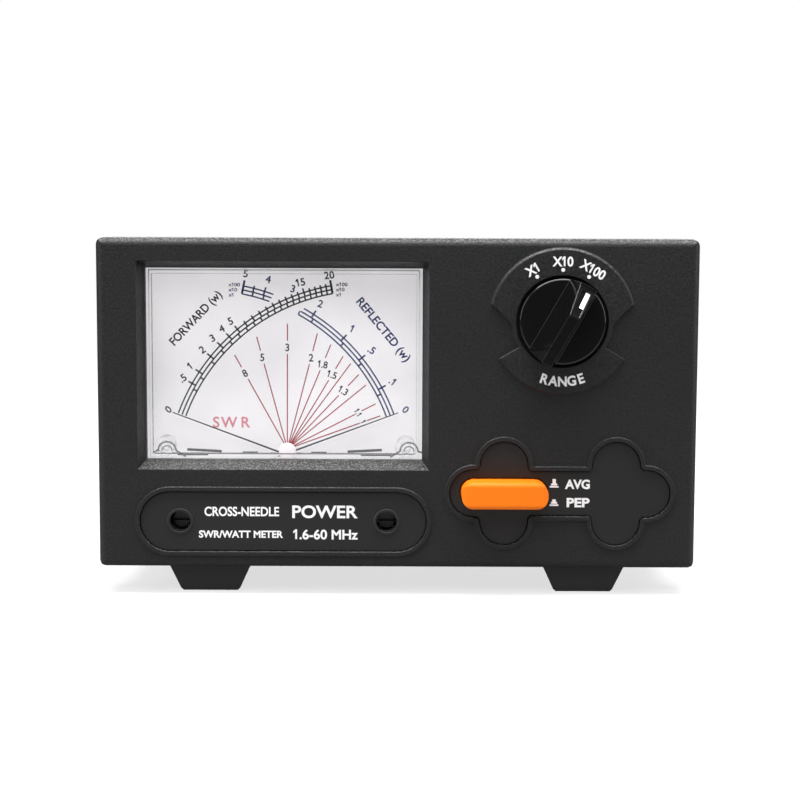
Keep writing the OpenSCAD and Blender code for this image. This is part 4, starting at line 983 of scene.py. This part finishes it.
class SWR_OT_switch_print(bpy.types.Operator):
    """Print the two switch positions beside the button"""

    bl_idname = "swr_meter.switch_print"
    bl_label = "Switch print"

    def execute(self, context):
        ink = Ink("switch_print", INLAY_DEPTH, INK_LAYER)
        for words, z, stands, stretch in (("AVG", -20.55, 1.3, 0.98), ("PEP", -25.35, 0.75, 1.22)):
            ink.text(words, 2.35, (46.9, z), 0, weight=0.12, stretch=stretch)
            base = z - 0.75
            ink.block(39.6, 41.9, base - 0.2, base + 0.2)
            ink.block(39.95, 41.55, base + 0.35, base + 0.85)
            ink.block(40.3, 41.2, base + 0.85, base + 0.75 + stands)
        ink.piece(FINISHES["white_ink"])
        return {"FINISHED"}


class SWR_OT_badge_print(bpy.types.Operator):
    """Print generic lettering on the badge"""

    bl_idname = "swr_meter.badge_print"
    bl_label = "Badge print"

    def execute(self, context):
        s = context.scene.swr_print
        ink = Ink("badge_print", INLAY_DEPTH, INK_LAYER)
        ink.text(s.name_text, 2.45, (-40.3, -28.0), 0, weight=0.08, stretch=0.84)
        ink.text("POWER", 3.3, (-18.9, -28.0), 0, weight=0.11, stretch=1.08)
        ink.text(s.kind_text, 1.85, (-40.6, -34.0), 0, weight=0.08, stretch=1.0)
        ink.text("1.6-60 MHz", 2.55, (-18.6, -34.0), 0, weight=0.09, stretch=1.02)
        ink.piece(FINISHES["white_ink"])
        return {"FINISHED"}


# ---------------------------------------------------------------- sockets


class SWR_OT_socket_threads(bpy.types.Operator):
    """Wind a screw thread around the two socket barrels: one long ridge on each"""

    bl_idname = "swr_meter.socket_threads"
    bl_label = "Socket threads"

    def execute(self, context):
        for name in ("socket_transmitter", "socket_antenna"):
            low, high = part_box(name)
            axis_x, axis_z = (low.x + high.x) / 2 / MM, (low.z + high.z) / 2 / MM - MIDDLE_Z
            end = high.y / MM - FACE_Y
            pitch, sides, root, crest, half_ridge = 1.06, 48, 7.8, 8.08, 0.42
            reach, lead = 13.4, 0.9
            steps = int(reach / pitch * sides)
            points, faces = [], []
            for step in range(steps + 1):
                turn = 2 * math.pi * step / sides
                depth = end - lead - pitch * step / sides
                for radius, shift in ((root, -half_ridge), (crest, 0.0), (root, half_ridge)):
                    points.append(at(axis_x + radius * math.cos(turn), depth + shift,
                                     axis_z + radius * math.sin(turn)))
            for step in range(steps):
                base = 3 * step
                for i in range(3):
                    j = (i + 1) % 3
                    faces.append((base + i, base + j, base + 3 + j, base + 3 + i))
            faces += [(2, 1, 0), (3 * steps, 3 * steps + 1, 3 * steps + 2)]
            new_piece(f"{name}_thread", points, faces, FINISHES["nickel"], "case")
        return {"FINISHED"}


# ---------------------------------------------------------------- studio


def soft_light(name, size, place, aim, power):
    """A rectangular softbox that looks at a point."""
    data = bpy.data.lights.new(name, "AREA")
    data.shape = "RECTANGLE"
    data.size, data.size_y = size
    data.energy = power
    made = bpy.data.objects.new(name, data)
    made.location = place
    made.rotation_euler = (Vector(aim) - Vector(place)).to_track_quat("-Z", "Y").to_euler()
    made.visible_camera = False
    bpy.context.scene.collection.objects.link(made)


class SWR_OT_studio(bpy.types.Operator):
    """Set the floor, the lights and the camera"""

    bl_idname = "swr_meter.studio"
    bl_label = "Studio"

    def fade(self, tree):
        """Lets the floor run out softly into the white around it."""
        place = node(tree, "ShaderNodeTexCoord")
        reach = node(tree, "ShaderNodeVectorMath", operation="LENGTH")
        tree.links.new(place.outputs["Object"], reach.inputs[0])
        inside = node(tree, "ShaderNodeMapRange", in_1=0.3, in_2=0.8, in_3=0.3, in_4=0.0)
        tree.links.new(reach.outputs["Value"], inside.inputs["Value"])
        tree.links.new(inside.outputs[0], tree.nodes["Principled BSDF"].inputs["Alpha"])

    def execute(self, context):
        s = context.scene.swr_studio
        half = 3.0
        mesh = bpy.data.meshes.new("floor")
        corners = [(-half, -half, 0), (half, -half, 0), (half, half, 0), (-half, half, 0)]
        mesh.from_pydata(corners, [], [(0, 1, 2, 3)])
        floor = bpy.data.objects.new("floor", mesh)
        context.scene.collection.objects.link(floor)
        paper = finish_surface(
            "floor_paper", tuple(s.floor), rough=0.8, grain=900.0, contrast=0.02, spread=0.05
        )
        self.fade(paper.node_tree)
        dress(floor, paper)
        world = bpy.data.worlds.new("studio")
        world.use_nodes = True
        tree = world.node_tree
        back = tree.nodes["Background"]
        back.inputs["Color"].default_value = (1, 1, 1, 1)
        path = node(tree, "ShaderNodeLightPath")
        level = maths(tree, "ADD", maths(tree, "MULTIPLY", path.outputs["Is Camera Ray"], 0.92), 0.08)
        tree.links.new(level, back.inputs["Strength"])
        context.scene.world = world
        soft_light("over", (0.9, 0.3), (0.0, -0.16, 0.75), (0, -0.03, 0.05), s.over_light)
        soft_light("front", (0.8, 0.5), (-0.15, -0.75, 0.75), (0, 0, 0.04), s.front_light)
        soft_light("left", (0.35, 0.6), (-0.8, -0.35, 0.35), (0, 0, 0.05), s.side_light)
        soft_light("right", (0.35, 0.6), (0.85, -0.2, 0.3), (0, 0, 0.05), s.side_light)
        soft_light("back", (1.6, 0.8), (0.0, 0.9, 0.55), (0, 0, 0.05), s.back_light)
        data = bpy.data.cameras.new("camera")
        data.sensor_width = 36.0
        data.lens = s.lens
        data.clip_start = 0.01
        camera = bpy.data.objects.new("camera", data)
        aim = Vector((0.0007, FACE_Y * MM, MIDDLE_Z * MM + 0.0012))
        back_off = Vector((0, -s.distance, s.distance * math.tan(s.pitch)))
        camera.location = aim + back_off
        look = (-back_off).to_track_quat("-Z", "Y").to_matrix().to_4x4() @ Matrix.Rotation(s.roll, 4, "Z")
        camera.rotation_euler = look.to_euler()
        context.scene.collection.objects.link(camera)
        context.scene.camera = camera
        context.scene.view_settings.view_transform = "Standard"
        return {"FINISHED"}


# ---------------------------------------------------------------- add-on

OPERATORS = (
    SWR_OT_finishes, SWR_OT_inks, SWR_OT_forward_scale, SWR_OT_reflected_scale, SWR_OT_ratio_fan,
    SWR_OT_cover_mouldings, SWR_OT_range_print, SWR_OT_pointer_line, SWR_OT_switch_print, SWR_OT_badge_print,
    SWR_OT_socket_threads, SWR_OT_studio,
)
SETTINGS = {
    "swr_case": SwrCaseSettings,
    "swr_dial": SwrDialSettings,
    "swr_print": SwrPrintSettings,
    "swr_studio": SwrStudioSettings,
}


class SWR_PT_panel(bpy.types.Panel):
    """Lists the meter's pieces and settings"""

    bl_idname = "SWR_PT_panel"
    bl_label = "SWR meter"
    bl_space_type = "VIEW_3D"
    bl_region_type = "UI"
    bl_category = "SWR meter"

    def draw(self, context):
        for name, kind in SETTINGS.items():
            box = self.layout.box()
            for key in kind.__annotations__:
                box.prop(getattr(context.scene, name), key)
        for operator in OPERATORS:
            self.layout.operator(operator.bl_idname)


def register():
    for made in (*SETTINGS.values(), *OPERATORS, SWR_PT_panel):
        bpy.utils.register_class(made)
    for name, kind in SETTINGS.items():
        setattr(bpy.types.Scene, name, PointerProperty(type=kind))


def unregister():
    for name in SETTINGS:
        delattr(bpy.types.Scene, name)
    for made in (SWR_PT_panel, *reversed(OPERATORS), *SETTINGS.values()):
        bpy.utils.unregister_class(made)


def main():
    register()
    for operator in OPERATORS:
        family, name = operator.bl_idname.split(".")
        if getattr(getattr(bpy.ops, family), name)() != {"FINISHED"}:
            raise RuntimeError(f"{operator.bl_label} did not finish")


if __name__ == "__main__":
    main()
